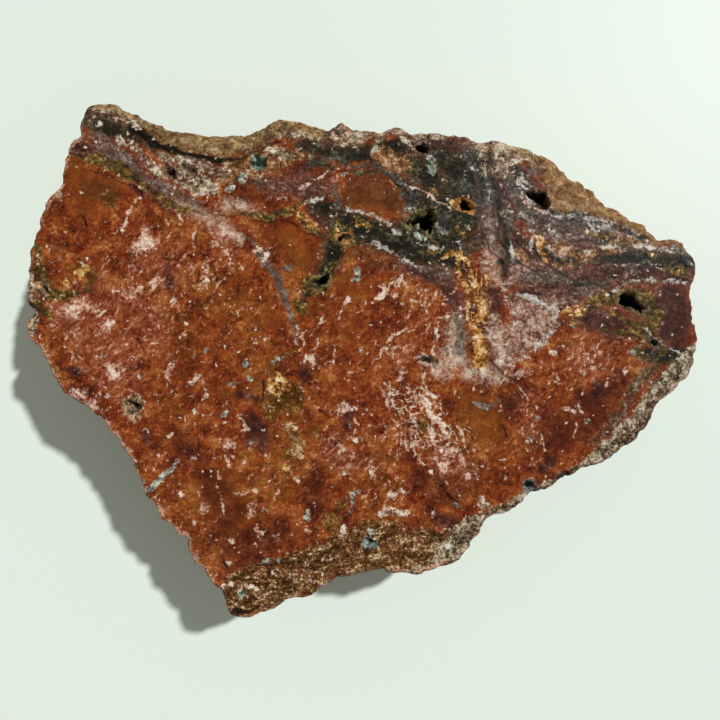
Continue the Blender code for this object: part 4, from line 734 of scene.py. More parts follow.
# The look of each kind of vein: its grain, how much of what lies below it covers, how far its edge strays,
# how soft the edge is, and its colours at places in the grain.
COATS = {
    "deep red": ("fine", 0.8, 0.9, 2.0, [
        (0.38, (0.030, 0.005, 0.003)), (0.50, (0.080, 0.013, 0.004)), (0.64, (0.18, 0.042, 0.012))]),
    "amber": ("fine", 0.8, 0.9, 1.6, [
        (0.38, (0.042, 0.010, 0.002)), (0.50, (0.112, 0.033, 0.007)), (0.62, (0.18, 0.072, 0.020))]),
    "dusk": ("coarse", 0.92, 1.6, 1.0, [
        (0.38, (0.008, 0.008, 0.005)), (0.47, (0.038, 0.026, 0.014)), (0.56, (0.095, 0.058, 0.028)),
        (0.66, (0.32, 0.26, 0.17))]),
    "rosy": ("wispy", 0.68, 2.0, 3.0, [
        (0.40, (0.085, 0.013, 0.005)), (0.48, (0.20, 0.045, 0.018)), (0.55, (0.40, 0.125, 0.058)),
        (0.62, (0.70, 0.38, 0.26))]),
    "wine": ("striped", 0.88, 1.6, 1.6, [
        (0.36, (0.025, 0.010, 0.008)), (0.47, (0.085, 0.030, 0.020)), (0.56, (0.17, 0.085, 0.060)),
        (0.66, (0.48, 0.32, 0.24))]),
    "maroon": ("fine", 0.9, 0.9, 0.8, [
        (0.37, (0.016, 0.004, 0.004)), (0.50, (0.050, 0.013, 0.009)), (0.60, (0.10, 0.036, 0.026)),
        (0.72, (0.34, 0.22, 0.17))]),
    "mustard": ("coarse", 0.9, 1.2, 0.4, [
        (0.38, (0.030, 0.011, 0.002)), (0.48, (0.085, 0.032, 0.003)), (0.57, (0.165, 0.072, 0.010)),
        (0.66, (0.42, 0.27, 0.12))]),
    "pink": ("coarse", 0.9, 1.8, 0.8, [
        (0.39, (0.26, 0.070, 0.030)), (0.47, (0.46, 0.20, 0.12)), (0.55, (0.70, 0.44, 0.33)),
        (0.61, (0.90, 0.72, 0.60))]),
    "haze": ("coarse", 0.88, 1.6, 1.8, [
        (0.38, (0.27, 0.13, 0.070)), (0.50, (0.46, 0.29, 0.20)), (0.60, (0.72, 0.57, 0.47))]),
    "mauve": ("lightly striped", 0.85, 1.3, 1.2, [
        (0.37, (0.026, 0.011, 0.009)), (0.46, (0.085, 0.046, 0.036)), (0.54, (0.145, 0.100, 0.080)),
        (0.64, (0.40, 0.33, 0.28))]),
    "breccia": ("coarse", 0.92, 0.9, 0.7, [
        (0.37, (0.075, 0.025, 0.018)), (0.46, (0.25, 0.12, 0.085)), (0.54, (0.42, 0.27, 0.20)),
        (0.63, (0.68, 0.58, 0.48))]),
    "moss": ("mossy", 0.95, 1.5, 0.6, [
        (0.42, (0.004, 0.004, 0.003)), (0.49, (0.012, 0.012, 0.007)), (0.55, (0.038, 0.033, 0.015)),
        (0.60, (0.105, 0.092, 0.042)), (0.68, (0.46, 0.44, 0.34))]),
    "rust": ("coarse", 0.9, 0.9, 0.6, [
        (0.37, (0.030, 0.016, 0.008)), (0.46, (0.14, 0.055, 0.018)), (0.55, (0.34, 0.15, 0.045)),
        (0.64, (0.66, 0.48, 0.32))]),
    "brown": ("sandy", 0.93, 1.6, 0.4, [
        (0.40, (0.008, 0.004, 0.001)), (0.45, (0.048, 0.019, 0.004)), (0.52, (0.140, 0.060, 0.014)),
        (0.585, (0.23, 0.115, 0.034)), (0.62, (0.58, 0.41, 0.22)), (0.67, (0.90, 0.76, 0.58))]),
    "crust": ("coarse", 0.95, 1.1, 0.3, [
        (0.39, (0.018, 0.011, 0.006)), (0.46, (0.14, 0.080, 0.036)), (0.53, (0.31, 0.215, 0.125)),
        (0.61, (0.80, 0.69, 0.55))]),
    "porous": ("coarse", 0.95, 0.9, 0.3, [
        (0.41, (0.010, 0.007, 0.004)), (0.475, (0.10, 0.066, 0.033)), (0.535, (0.29, 0.215, 0.130)),
        (0.62, (0.64, 0.55, 0.41))]),
    "olive": ("stranded", 0.95, 0.7, 0.3, [
        (0.41, (0.012, 0.010, 0.004)), (0.48, (0.050, 0.034, 0.010)), (0.54, (0.14, 0.080, 0.016)),
        (0.60, (0.34, 0.20, 0.045)), (0.66, (0.60, 0.46, 0.22))]),
    "gold": ("coarse", 0.95, 0.7, 0.25, [
        (0.41, (0.060, 0.022, 0.006)), (0.46, (0.27, 0.105, 0.022)), (0.53, (0.52, 0.25, 0.055)),
        (0.59, (0.74, 0.46, 0.17)), (0.64, (0.95, 0.80, 0.55))]),
    "grey vein": ("coarse", 0.95, 0.5, 0.35, [
        (0.38, (0.06, 0.036, 0.024)), (0.50, (0.125, 0.080, 0.056)), (0.62, (0.28, 0.24, 0.20))]),
    "slate": ("slaty", 0.85, 0.9, 0.6, [
        (0.38, (0.013, 0.012, 0.009)), (0.47, (0.040, 0.037, 0.029)), (0.56, (0.092, 0.088, 0.070)),
        (0.66, (0.40, 0.39, 0.33))]),
    # Pale seams, and the painted glints along the back right.
    "pale seam": ("coarse", 0.85, 1.1, 0.2, [
        (0.42, (0.10, 0.08, 0.06)), (0.49, (0.32, 0.28, 0.23)), (0.62, (0.70, 0.66, 0.60))]),
    "teal": ("coarse", 0.88, 0.6, 0.25, [
        (0.42, (0.035, 0.05, 0.038)), (0.48, (0.13, 0.165, 0.125)), (0.54, (0.34, 0.37, 0.30)),
        (0.62, (0.72, 0.73, 0.63))]),
    "cream": ("coarse", 0.92, 0.8, 0.25, [
        (0.39, (0.34, 0.15, 0.08)), (0.48, (0.62, 0.42, 0.30)), (0.58, (0.86, 0.74, 0.62))]),
    "thread": ("coarse", 0.8, 0.62, 0.12, [
        (0.40, (0.34, 0.12, 0.055)), (0.50, (0.54, 0.29, 0.18)), (0.60, (0.82, 0.64, 0.50))]),
    "tan skin": ("coarse", 0.95, 0.5, 0.4, [
        (0.37, (0.065, 0.032, 0.010)), (0.46, (0.165, 0.092, 0.032)), (0.54, (0.262, 0.156, 0.060)),
        (0.64, (0.45, 0.33, 0.17))]),
    "orange skin": ("coarse", 0.95, 0.5, 0.4, [
        (0.37, (0.070, 0.028, 0.008)), (0.46, (0.19, 0.088, 0.026)), (0.54, (0.26, 0.135, 0.048)),
        (0.65, (0.44, 0.28, 0.14))]),
}


def on_face(x, y):
    """The place on the sawn face, in millimetres, that a pixel of the photograph shows."""
    return (x - ORIGIN_PIXEL[0]) * PIXEL, (ORIGIN_PIXEL[1] - y) * PIXEL


def read_mesh(mesh, what="co", width=3, source="vertices"):
    """One value for each point of a mesh, as an array."""
    items = getattr(mesh, source)
    values = np.zeros(len(items) * width, np.float32)
    items.foreach_get(what, values)
    return values.reshape(-1, width).astype(float)


def points_and_normals(mesh):
    """The points of a mesh, in millimetres, and the directions in which its surface faces there."""
    return read_mesh(mesh) / MM, read_mesh(mesh, "vector", 3, "vertex_normals")


def write_points(mesh, points):
    mesh.vertices.foreach_set("co", points.astype(np.float32).ravel())
    mesh.update()


def only(piece):
    """Selects one object and makes it the active one."""
    bpy.ops.object.select_all(action="DESELECT")
    piece.select_set(True)
    bpy.context.view_layer.objects.active = piece


def finish_modifier(piece, kind, **settings):
    """Adds a modifier and applies it."""
    only(piece)
    modifier = piece.modifiers.new(kind.lower(), kind)
    for name, value in settings.items():
        setattr(modifier, name, value)
    bpy.ops.object.modifier_apply(modifier=modifier.name)


def copy_of_solid():
    """A copy of the slab's solid with its loose triangles joined."""
    piece = bpy.data.objects.new("jasper_stone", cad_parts["jasper_slab"].data.copy())
    bpy.context.scene.collection.objects.link(piece)
    piece.data.materials.clear()
    only(piece)
    bpy.ops.object.mode_set(mode="EDIT")
    bpy.ops.mesh.select_all(action="SELECT")
    bpy.ops.mesh.remove_doubles(threshold=TOUCHING * MM)
    bpy.ops.mesh.customdata_custom_splitnormals_clear()
    bpy.ops.object.mode_set(mode="OBJECT")
    return piece


def parts_of_mesh(mesh, kept):
    """Numbers the connected parts that the kept points form. A point that isn't kept gets -1."""
    edges = read_mesh(mesh, "vertices", 2, "edges").astype(int)
    edges = edges[kept[edges[:, 0]] & kept[edges[:, 1]]]
    part = np.arange(len(kept))
    while True:
        low = np.minimum(part[edges[:, 0]], part[edges[:, 1]])
        before = part.copy()
        np.minimum.at(part, edges[:, 0], low)
        np.minimum.at(part, edges[:, 1], low)
        part = part[part]
        if (part == before).all():
            break
    part[~kept] = -1
    return part


def nearest_lining(points):
    """For each point, the number of the lining it lies nearest to, and how far off it is."""
    middles = np.array([on_face(x, y) for x, y, *_ in LININGS])
    gaps = np.linalg.norm(points[:, None, :2] - middles, axis=2)
    return gaps.argmin(axis=1), gaps.min(axis=1)


def find_cavities(mesh):
    """True for the points in vugs and pores, which the sawn face cuts off from the rim, and in pockets."""
    points = read_mesh(mesh) / MM
    height = points[:, 2]
    part = parts_of_mesh(mesh, height < FACE - FLAT)
    names, counts = np.unique(part[part >= 0], return_counts=True)
    closed = (part >= 0) & (part != names[counts.argmax()])
    which, gap = nearest_lining(points)
    reach = np.array([reach * PIXEL for *_, reach in LININGS])[which]
    deep = (height < FACE - POCKET_DEPTHS[0]) & (height > FACE - POCKET_DEPTHS[1])
    return closed | ((gap < reach) & deep)


def grow_crystals(piece):
    """Sets small crystals on the walls of the vugs, and joins them to the stone."""
    points, normals = points_and_normals(piece.data)
    depth = FACE - points[:, 2]
    which, _ = nearest_lining(points)
    wall = find_cavities(piece.data) & np.isin(which, ROOMY)
    wall &= (depth > CRYSTAL_DEPTHS[0]) & (depth < CRYSTAL_DEPTHS[1])
    foot, tip, length = CRYSTAL_FORM
    draw = random.Random(CRYSTAL_SEED)
    crystals = []
    for i in np.flatnonzero(wall):
        size = draw.uniform(*CRYSTAL_SIZE)
        lean = Vector([draw.uniform(-CRYSTAL_LEAN, CRYSTAL_LEAN) for _ in range(3)])
        if draw.random() > CRYSTAL_SHARE:
            continue
        towards = (Vector(normals[i]) + lean).normalized()
        sink = Vector((0, 0, min(0.0, depth[i] - size - CRYSTAL_COVER)))
        middle = Vector(points[i]) + sink + towards * (size * CRYSTAL_LIFT)
        bpy.ops.mesh.primitive_cone_add(vertices=CRYSTAL_SIDES, radius1=size * foot * MM,
                                        radius2=size * tip * MM, depth=size * length * MM,
                                        location=middle * MM,
                                        rotation=towards.to_track_quat("Z", "Y").to_euler())
        crystals.append(bpy.context.object)
    only(piece)
    for crystal in crystals:
        crystal.select_set(True)
    bpy.ops.object.join()


def gap_to(points, chosen):
    """For each point, how far away the nearest of the chosen points is."""
    tree = KDTree(int(chosen.sum()))
    for i in np.flatnonzero(chosen):
        tree.insert(points[i], int(i))
    tree.balance()
    gap = np.where(chosen, 0.0, FAR)
    for i in np.flatnonzero((points[:, 2] > FACE - FAR) & ~chosen):
        gap[i] = tree.find(points[i])[2]
    return gap


def sideways(point, waves):
    """How far waves of noise move a point to the right and back."""
    stray = Vector((0, 0, 0))
    for size, reach in waves:
        stray += noise.noise_vector(Vector(point) / size) * reach
    return np.array(stray.xy)


def fray(mesh, cavity):
    """Makes the mouths and walls of vugs uneven, by moving their points sideways."""
    points = read_mesh(mesh) / MM
    gap = gap_to(points, cavity)
    for i in np.flatnonzero(gap < MOUTH_REACH):
        points[i, :2] += sideways(points[i], MOUTH_WAVES) * (1 - gap[i] / MOUTH_REACH)
    write_points(mesh, points * MM)


def roughen(mesh, cavity):
    """Small relief on the rim and in the vugs, kept inside the box of the solid."""
    points, normals = points_and_normals(mesh)
    height = points[:, 2]
    sawn = (height > FACE - FLAT) | (height < FLAT)
    fade = np.clip((FACE - height) / EDGE, 0, 1) * np.clip(height / EDGE, 0, 1)
    depth = np.zeros(len(points))
    for i in np.flatnonzero(~sawn):
        spot = Vector(points[i])
        bumps, swell = (VUG_BUMPS, 0.0) if cavity[i] else (RIM_BUMPS, RIM_SWELL)
        depth[i] = sum(deep * noise.noise(spot / size) for size, deep in bumps) - swell
    low, high = (np.array(corner) for corner in cad_box)
    write_points(mesh, np.clip((points - normals * (depth * fade)[:, None]) * MM, low, high))


def thin_underside(piece):
    """Leaves fewer points on the lower sawn face. Waves spread them evenly, and are then pressed out."""
    mesh = piece.data
    points, normals = points_and_normals(mesh)
    under = (points[:, 2] < FLAT) & (normals[:, 2] < UNDERSIDE_TURN)
    size, rise = UNDERSIDE_WAVE
    for i in np.flatnonzero(under):
        points[i, 2] += rise * noise.noise(Vector(points[i]) / size)
    write_points(mesh, points * MM)
    group = piece.vertex_groups.new(name="underside")
    group.add([int(i) for i in np.flatnonzero(under)], 1.0, "REPLACE")
    counts = np.array([len(face.vertices) - 2 for face in mesh.polygons])
    below = np.array([under[list(face.vertices)].all() for face in mesh.polygons])
    kept = counts[~below].sum() + UNDERSIDE_TRIANGLES
    finish_modifier(piece, "DECIMATE", ratio=kept / counts.sum(), vertex_group=group.name,
                    vertex_group_factor=UNDERSIDE_PULL, use_collapse_triangulate=True)
    points = read_mesh(piece.data) / MM
    points[points[:, 2] < FLAT + rise, 2] = 0.0
    write_points(piece.data, points * MM)
    piece.vertex_groups.clear()


def stretches(places, line):
    """For each stretch of a line with a width: where it runs to, how far each place lies off it, how wide
    it is there, and how far beyond its ends the place lies. All are in millimetres."""
    spots = [(*on_face(x, y), width * PIXEL) for x, y, width in line]
    if len(spots) == 1:
        spots = spots * 2
    for (ax, ay, aw), (bx, by, bw) in zip(spots, spots[1:]):
        start, run = np.array((ax, ay)), np.array((bx - ax, by - ay))
        length = max(math.hypot(*run), SHORT)
        along = ((places - start) @ run) / length ** 2
        share = np.clip(along, 0, 1)
        off = places - start - share[:, None] * run
        yield run, off, aw + (bw - aw) * share, abs(along - share) * length


def depth_in_line(places, line):
    """How far inside a line with a width each place lies, in millimetres. Outside it is below zero."""
    best = np.full(len(places), -FAR)
    for _, off, width, _ in stretches(places, line):
        best = np.maximum(best, width - np.linalg.norm(off, axis=1))
    return best


def beside_lines(places, lines):
    """For thin lines: how far to the left of the nearest one each place lies, and its half width there.

    The side changes sign on the line itself, so the material finds the line between the mesh's points.
    """
    gap, side, wide = (np.full(len(places), value) for value in (FAR, FAR, -FAR))
    for line in lines:
        for run, off, width, beyond in stretches(places, line):
            away = np.linalg.norm(off, axis=1)
            left = np.where(run[0] * off[:, 1] < run[1] * off[:, 0], -away, away)
            near = away < gap
            gap[near] = away[near]
            side[near] = left[near]
            wide[near] = (width - beyond * TAPER)[near]
    wide[gap > np.maximum(THIN_REACH, wide + THIN_REACH)] = -FAR
    return side, wide


def vein_depths(points):
    """For each kind of vein, how deep every point lies in it. A thin kind has a side and a width."""
    below = np.maximum(0.0, FACE - DIP_FROM - points[:, 2])
    places = points[:, :2] - below[:, None] * np.array(VEIN_DIP)
    places += np.array([sideways(point, VEIN_WARPS) for point in points])
    fields = {}
    for kind, lines in VEINS.items():
        if kind in THIN:
            fields[kind + " side"], fields[kind + " width"] = beside_lines(places, lines)
        else:
            fields[kind] = np.max([depth_in_line(places, line) for line in lines], axis=0)
    return fields


def mark_points(mesh, cavity):
    """Writes on every point how deep it lies in each kind of vein, and whether it is broken or in a vug."""
    points, normals = points_and_normals(mesh)
    height = points[:, 2]
    rim = np.clip((FACE - FLAT - height) / EDGE, 0, 1) * np.clip((height - FLAT) / EDGE, 0, 1)
    rim = np.maximum(rim, np.clip((1 - abs(normals[:, 2])) * STEEP, 0, 1))
    which, _ = nearest_lining(points)
    fields = vein_depths(points)
    fields["broken"] = np.where(cavity, 0.0, rim)
    fields["cavity"] = cavity.astype(float)
    fields["lip"] = np.clip(1 - gap_to(points, cavity) / LIP, 0, 1)
    fields["edge"] = np.clip(1 - gap_to(points, ~cavity & (height < FACE - FLAT)) / CHIP, 0, 1)
    # How fast painted shade darkens each point's vug with depth.
    fields["gloom"] = np.array([gloom for _, _, _, gloom, _ in LININGS])[which]
    for kind, values in fields.items():
        layer = mesh.attributes.new(kind, "FLOAT", "POINT")
        layer.data.foreach_set("value", values.astype(np.float32))
    tints = np.array([(*tint, 1.0) for _, _, tint, _, _ in LININGS], np.float32)[which]
    mesh.attributes.new("lining", "FLOAT_COLOR", "POINT").data.foreach_set("color", tints.ravel())


class Wire:
    """A socket of a material. Sums and products of wires add Math nodes to it."""

    def __init__(self, finish, socket):
        self.finish = finish
        self.socket = socket

    def math(self, operation, first, second):
        return self.finish.node("ShaderNodeMath", {"operation": operation}, {0: first, 1: second})

    def __add__(self, other):
        return self.math("ADD", self, other)

    def __radd__(self, other):
        return self.math("ADD", other, self)

    def __sub__(self, other):
        return self.math("SUBTRACT", self, other)

    def __rsub__(self, other):
        return self.math("SUBTRACT", other, self)

    def __mul__(self, other):
        return self.math("MULTIPLY", self, other)

    def __rmul__(self, other):
        return self.math("MULTIPLY", other, self)

    def __abs__(self):
        return self.math("ABSOLUTE", self, 0.0)


class Finish:
    """A material in the making."""

    def __init__(self, name):
        self.material = bpy.data.materials.new(name)
        self.material.use_nodes = True
        self.tree = self.material.node_tree
        self.shader = self.tree.nodes["Principled BSDF"]

    def node(self, kind, settings=None, sockets=None, output=0):
        """Adds a node, sets it up, feeds its sockets with values or wires, and returns an output's wire."""
        node = self.tree.nodes.new(kind)
        for name, value in (settings or {}).items():
            if name == "stops":
                self.set_stops(node.color_ramp, value)
            else:
                setattr(node, name, value)
        for name, value in (sockets or {}).items():
            self.feed(node.inputs[name], value)
        return Wire(self, node.outputs[output])

    def feed(self, socket, value):
        if isinstance(value, Wire):
            self.tree.links.new(value.socket, socket)
        elif socket.type == "RGBA":
            socket.default_value = (*value, 1.0)
        else:
            socket.default_value = value

    def set_stops(self, ramp, stops):
        while len(ramp.elements) < len(stops):
            ramp.elements.new(1.0)
        for element, (place, colour) in zip(ramp.elements, stops):
            element.position = place
            element.color = (*colour, 1.0)

    def vector(self, operation, places, other):
        """Sums, differences and products of places. SCALE takes a number, and the others take a place."""
        return self.node("ShaderNodeVectorMath", {"operation": operation},
                         {0: places, "Scale" if operation == "SCALE" else 1: other})

    def places(self):
        """The place of a point, in millimetres."""
        return self.vector("SCALE", self.node("ShaderNodeTexCoord", output=3), 1 / MM)

    def drawn_out(self, places, angle, share):
        """Places on which a pattern is drawn out along an angle, and is narrower by a share across it."""
        turned = self.node("ShaderNodeVectorRotate", {"rotation_type": "Z_AXIS"},
                           {"Vector": places, "Angle": math.radians(-angle)})
        return self.vector("MULTIPLY", turned, (share, 1 / share, 1.0))

    def warped(self, places, size, reach):
        """Places that stray by up to about half the reach."""
        stray = self.vector("SUBTRACT", self.cloud(places, size, detail=2.0, colour=True), (0.5, 0.5, 0.5))
        return self.vector("ADD", places, self.vector("SCALE", stray, reach))

    def cloud(self, places, size, detail=3.0, rough=0.55, shift=0.0, colour=False):
        """Noise between 0 and 1, mostly near 0.5, with bumps of a size in millimetres."""
        if shift:
            places = self.vector("ADD", places, (shift,) * 3)
        return self.node("ShaderNodeTexNoise", {}, {"Vector": places, "Scale": 1 / size, "Detail": detail,
                                                    "Roughness": rough}, output=1 if colour else 0)

    def grains(self, places, size, output=0, **settings):
        """Cells of a size in millimetres: the distance to each one's middle, or a colour for each."""
        return self.node("ShaderNodeTexVoronoi", settings, {"Vector": places, "Scale": 1 / size},
                         output=output)

    def rise(self, value, low, high):
        """0 below low, 1 above high, and smooth in between."""
        return self.node("ShaderNodeMapRange", {"interpolation_type": "SMOOTHSTEP"},
                         {"Value": value, "From Min": low, "From Max": high})

    def ramp(self, value, stops):
        return self.node("ShaderNodeValToRGB", {"stops": stops}, {"Fac": value})

    def mix(self, share, colour, other, blend="MIX"):
        return self.node("ShaderNodeMix", {"data_type": "RGBA", "blend_type": blend},
                         {0: share, 6: colour, 7: other}, output=2)

    def mark(self, kind):
        """What the mesh's points carry under a name."""
        return self.node("ShaderNodeAttribute", {"attribute_name": kind}, output=2)


class Jasper(Finish):
    """Orange-red stone with grains in it, then each kind of vein over it, then the rim and the vugs."""

    def __init__(self):
        super().__init__("jasper")
        self.at = self.places()
        bent = self.warped(self.at, 4.0, 2.4)
        self.broad = self.cloud(self.at, 14.0, detail=2.0)
        self.body = body = self.cloud(bent, 3.8, detail=8.0, rough=0.74)
        self.grit = grit = self.cloud(self.at, 0.8, detail=3.0, rough=0.9, shift=31.0)
        self.patch = patch = self.cloud(bent, 2.8, detail=6.0, rough=0.72, shift=57.0)
        self.wisps = self.cloud(self.drawn_out(bent, 52.0, 0.72), 1.5, detail=7.0, rough=0.80)
        crumple = self.node("ShaderNodeCombineXYZ", {}, {0: patch * 4.0, 1: body * 4.0, 2: grit * 1.3})
        self.crumpled = self.vector("ADD", self.at, crumple)
        self.smooth = self.rise(self.mark("smooth"), -2.0, 1.0)
        self.crowded = self.rise(self.mark("crowded"), -4.0, 3.0)
        self.broken = self.mark("broken")
        self.cavity = self.mark("cavity")

        plain = 1 - self.smooth * 0.35
        fine = (body - 0.5) * plain + (grit - 0.5) * (0.5 - self.smooth * 0.25) + 0.5
        coarse = (patch - 0.5) * 0.85 + (grit - 0.5) * 0.75 + 0.5
        sand = self.cloud(self.drawn_out(bent, 12.0, 0.8), 2.0, detail=7.0, rough=0.85)
        strands = self.cloud(self.drawn_out(bent, -24.0, 0.62), 1.4, detail=5.0, rough=0.75)
        stripes = (strands - 0.5) * 0.85 + (grit - 0.5) * 0.5 + 0.5
        self.grain = {
            "fine": fine,
            "coarse": coarse,
            "sandy": sand * 1.15 + (grit - 0.5) * 0.7 - 0.075,
            "striped": stripes,
            "lightly striped": coarse * 0.7 + stripes * 0.3,
            "stranded": coarse * 0.7 + strands * 0.3,
            "wispy": self.wisps * 0.5 + coarse * 0.5,
            "mossy": coarse * 0.7 + body * 0.3,
            "slaty": coarse * 0.75 + body * 0.25,
        }
        self.colour = None

    def lay(self, share, colour):
        """Covers a share of the colour so far with another."""
        self.colour = self.mix(share, self.colour, colour)

    def inside(self, kind, stray, soft):
        """1 inside a kind of vein and 0 outside, with a ragged edge."""
        if kind in THIN:
            deep = self.mark(kind + " width") - abs(self.mark(kind + " side"))
        else:
            deep = self.mark(kind)
        ragged = self.patch * 0.55 + self.grit * 0.45 - 0.5
        return self.rise(deep + ragged * (stray * 5), -soft, soft)

    def lay_veins(self, *kinds):
        for kind in kinds:
            grain, cover, stray, soft, stops = COATS[kind]
            self.lay(self.inside(kind, stray, soft) * cover, self.ramp(self.grain[grain], stops))

    def plain_stone(self):
        """Red stone that turns orange in broad patches."""
        red = self.ramp(self.grain["fine"], [(0.34, (0.040, 0.005, 0.002)), (0.44, (0.12, 0.017, 0.004)),
                                             (0.53, (0.225, 0.042, 0.007)), (0.61, (0.34, 0.090, 0.018)),
                                             (0.70, (0.55, 0.24, 0.10))])
        orange = self.ramp(self.grain["fine"], [(0.34, (0.075, 0.014, 0.002)), (0.44, (0.155, 0.036, 0.004)),
                                                (0.54, (0.230, 0.063, 0.008)), (0.66, (0.42, 0.16, 0.035))])
        ochre = self.rise(self.mark("ochre"), -5.0, 4.0)
        patches = self.broad * 0.4 + self.patch * 0.6 + self.smooth * 0.03 + ochre * 0.07
        self.colour = self.mix(self.rise(patches, 0.47, 0.62), red, orange)

    def mottling(self):
        """Soft pink mottling, wisps of cream grains, a net of pale threads, and fine dark cracks."""
        patch, grit = self.patch, self.grit
        netted = self.rise(self.mark("net") + (patch - 0.5) * 8.0, -0.8, 0.8)
        dense = self.wisps + self.crowded * 0.055 + (self.broad - 0.5) * 0.18
        dense = dense - self.smooth * 0.05 - netted * 0.02
        self.lay(self.rise(dense, 0.541, 0.653) * 0.78, PINK)
        self.lay(self.rise(dense, 0.614, 0.666) * 0.9, CREAM)
        net = self.grains(self.crumpled, 2.4, feature="DISTANCE_TO_EDGE")
        thread = self.rise(0.07 * self.rise(patch, 0.42, 0.56) + (grit - 0.5) * 0.25 - net, -0.02, 0.03)
        self.lay(thread * netted * 0.8, CREAM)
        crack = self.grains(self.crumpled, 8.0, feature="DISTANCE_TO_EDGE")
        open_crack = self.rise(0.014 - crack, 0.0, 0.008) * self.rise(patch, 0.48, 0.56)
        self.lay(open_crack * 0.7, (0.03, 0.008, 0.006))

    def veins(self):
        """Each kind of vein over those before it."""
        self.lay_veins("deep red", "amber", "dusk", "rosy", "wine", "maroon", "mustard", "pink", "haze",
                       "mauve", "breccia", "moss", "rust", "brown")
        red_spots = self.inside("brown", 1.6, 0.4) * self.rise(self.patch, 0.54, 0.60)
        self.lay(red_spots * 0.5, (0.17, 0.032, 0.010))
        self.lay_veins("crust", "porous", "olive", "gold", "grey vein", "slate")
        # The dark seams darken what lies under them; in the mouths of the vugs they are painted shade.
        darker = self.mix(1.0, self.colour, (0.10, 0.08, 0.075), "MULTIPLY")
        self.lay(self.inside("dark seam", 0.6, 0.16) * 0.9, darker)
        self.lay_veins("pale seam", "teal", "cream", "thread", "tan skin", "orange skin")

    def single_grains(self):
        """Single pale grains all over the sawn face."""
        dots = self.grains(self.crumpled, 1.0)
        draws = self.grains(self.crumpled, 1.0, output=1)
        dice, chance = (self.node("ShaderNodeSeparateColor", {}, {0: draws}, output=i) for i in (0, 1))
        share = 0.21 + (self.patch - 0.5) * 2.5 + self.crowded * 0.12 - self.smooth * 0.14
        present = self.rise(share - dice, -0.01, 0.02)
        dot = self.rise((0.14 + chance * 0.24) * present - 0.03 + (self.grit - 0.5) * 0.3 - dots, 0.0, 0.08)
        self.lay(dot * 0.85, self.ramp(chance, [(0.1, (0.48, 0.19, 0.09)), (0.9, (0.84, 0.68, 0.54))]))

    def rim(self):
        """The broken and weathered rim, duller and paler than the sawn face, and the chips along its edge."""
        weathered = self.ramp(self.body * 0.5 + self.grain["coarse"] * 0.5,
                              [(0.40, (0.020, 0.012, 0.008)), (0.46, (0.14, 0.055, 0.024)),
                               (0.54, (0.27, 0.145, 0.075)), (0.63, (0.58, 0.45, 0.34))])
        skinned = self.rise(self.mark("tan skin"), -0.5, 0.5) + self.rise(self.mark("orange skin"), -0.5, 0.5)
        clean = self.rise(self.mark("deep red"), -0.5, 1.5) * 0.3
        self.lay(self.broken * (0.42 - skinned * 0.34 - clean), weathered)
        brink = self.rise(self.mark("edge") + (self.grain["coarse"] - 0.5) * 3.4, 0.62, 0.86)
        chips = self.ramp(self.grit, [(0.4, (0.36, 0.12, 0.05)), (0.62, (0.78, 0.52, 0.38))])
        self.lay(brink * self.rise(self.mark("chipped"), -1.0, 1.0) * 0.65, chips)

    def vugs(self):
        """Vugs are lined with crystals and painted glints, and painted shade blackens them as they go down.
        """
        patch, grit = self.patch, self.grit
        height = self.node("ShaderNodeSeparateXYZ", {}, {0: self.at}, output=2)
        tint = self.node("ShaderNodeAttribute", {"attribute_name": "lining"}, output=0)
        # Grain of the lining's crystals; the parts brighter than 1 are painted glints.
        crystal_grain_and_painted_glints = self.ramp(grit * 0.6 + patch * 0.4, [(0.38, (0.06, 0.05, 0.04)), (0.48, (0.6, 0.6, 0.6)),
                                                       (0.56, (1.3, 1.3, 1.3)), (0.64, (2.6, 2.6, 2.6))])
        lined = self.mix(1.0, tint, crystal_grain_and_painted_glints, "MULTIPLY")
        # Painted shade: deeper in a vug the lining is mixed to near-black, at that lining's painted-shade
        # rate.
        lining_in_painted_shade = self.mix(self.rise((FACE - height) * self.mark("gloom"), 0.15, 1.0), lined, BLACK)
        lip = self.rise(self.mark("lip") + (patch - 0.5) * 3.0 + (grit - 0.5) * 1.5, 0.5, 0.75)
        self.lay(lip * self.rise(self.mark("lip"), 0.05, 0.2) * 0.8, lined)
        self.lay(self.rise(self.cavity, 0.3, 0.8), lining_in_painted_shade)
        green = self.mix(patch, (0.10, 0.12, 0.09), (0.60, 0.62, 0.52))
        self.lay(self.inside("teal", 0.6, 0.25) * self.cavity * 0.75, green)
        # Painted shade: black where those dark marks fall inside a vug.
        self.lay(self.inside("dark seam", 0.6, 0.16) * self.cavity * 0.9, BLACK)

    def gloss_and_relief(self):
        """The sawn face shines as if wet. The rim, the vugs and the crumbly stone are dull and rough."""
        crumbly = (self.rise(self.mark("crust"), -0.4, 0.4) + self.rise(self.mark("porous"), -0.4, 0.4)) * 0.5
        dull = self.rise(self.broken, 0.0, 0.12) + self.cavity + crumbly * 0.8
        rough = 0.28 + (self.grit - 0.5) * 0.5 + dull * 0.5
        within = self.node("ShaderNodeClamp", {}, {0: rough, 1: 0.2, 2: 0.92})
        relief = self.grain["coarse"] * (0.08 + self.broken * 1.4 + self.cavity * 1.2 + crumbly * 0.9)
        self.feed(self.shader.inputs["Specular IOR Level"], 0.22)
        bump = self.node("ShaderNodeBump", {}, {"Strength": 0.8, "Distance": 0.4 * MM, "Height": relief})
        self.feed(self.shader.inputs["Roughness"], within)
        self.feed(self.shader.inputs["Normal"], bump)

    def done(self):
        self.plain_stone()
        self.mottling()
        self.veins()
        self.single_grains()
        self.rim()
        self.vugs()
        self.feed(self.shader.inputs["Base Color"], self.colour)
        self.gloss_and_relief()
        return self.material


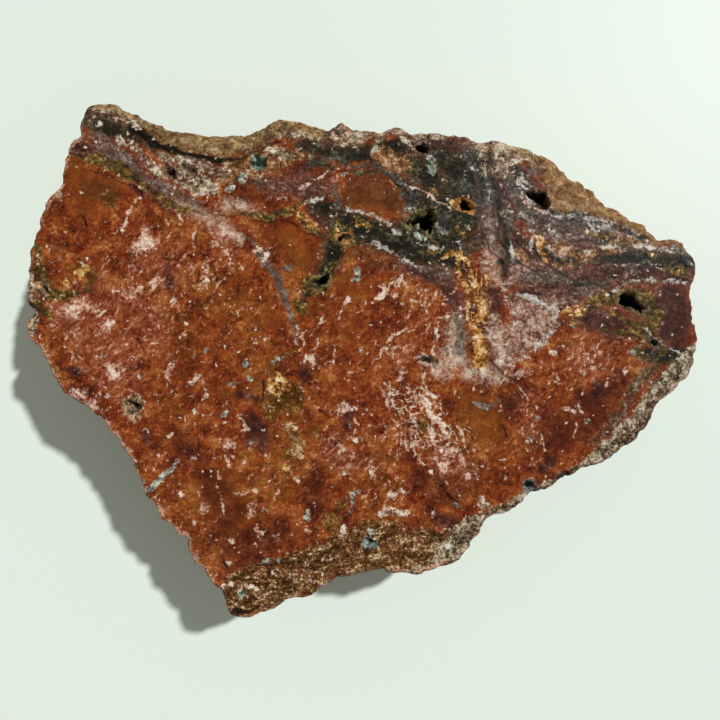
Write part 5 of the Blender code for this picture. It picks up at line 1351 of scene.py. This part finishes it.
def make_stone():
    noise.seed_set(NOISE_SEED)
    piece = copy_of_solid()
    grow_crystals(piece)
    finish_modifier(piece, "REMESH", mode="VOXEL", voxel_size=GRAIN * MM)
    cavity = find_cavities(piece.data)
    fray(piece.data, cavity)
    roughen(piece.data, cavity)
    thin_underside(piece)
    mark_points(piece.data, find_cavities(piece.data))
    only(piece)
    bpy.ops.object.shade_smooth()
    piece.data.materials.append(Jasper().done())
    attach(piece, "root")
    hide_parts("jasper_slab")


def make_floor():
    bpy.ops.mesh.primitive_plane_add(size=FLOOR_SIZE * MM, location=(0.0, 0.0, -FLOOR_GAP * MM))
    floor = bpy.context.object
    floor.name = "floor"
    finish = Finish("pale_floor")
    finish.feed(finish.shader.inputs["Base Color"], FLOOR_COLOUR)
    finish.feed(finish.shader.inputs["Roughness"], FLOOR_ROUGHNESS)
    floor.data.materials.append(finish.material)


def light_scene():
    key = bpy.data.lights.new("key", "SUN")
    key.energy = KEY_STRENGTH
    key.angle = math.radians(KEY_ANGLE)
    light = bpy.data.objects.new("key", key)
    towards = Vector(KEY_TOWARDS).normalized()
    light.rotation_euler = towards.to_track_quat("-Z", "Y").to_euler()
    light.location = -towards * KEY_DISTANCE * MM
    bpy.context.scene.collection.objects.link(light)
    world = bpy.data.worlds.new("studio")
    world.use_nodes = True
    background = world.node_tree.nodes["Background"]
    background.inputs["Color"].default_value = (*FILL_COLOUR, 1.0)
    background.inputs["Strength"].default_value = FILL_STRENGTH
    bpy.context.scene.world = world
    bpy.context.scene.view_settings.view_transform = "Standard"


def place_camera():
    data = bpy.data.cameras.new("camera")
    data.sensor_width = SENSOR
    data.lens = LENS
    data.clip_start = CAMERA_NEAR * MM
    camera = bpy.data.objects.new("camera", data)
    x, y = on_face(PHOTO_SIZE / 2, PHOTO_SIZE / 2)
    camera.location = (x * MM, y * MM, (FACE + CAMERA_ABOVE_FACE) * MM)
    bpy.context.scene.collection.objects.link(camera)
    bpy.context.scene.camera = camera


place_camera()
light_scene()
make_floor()
make_stone()
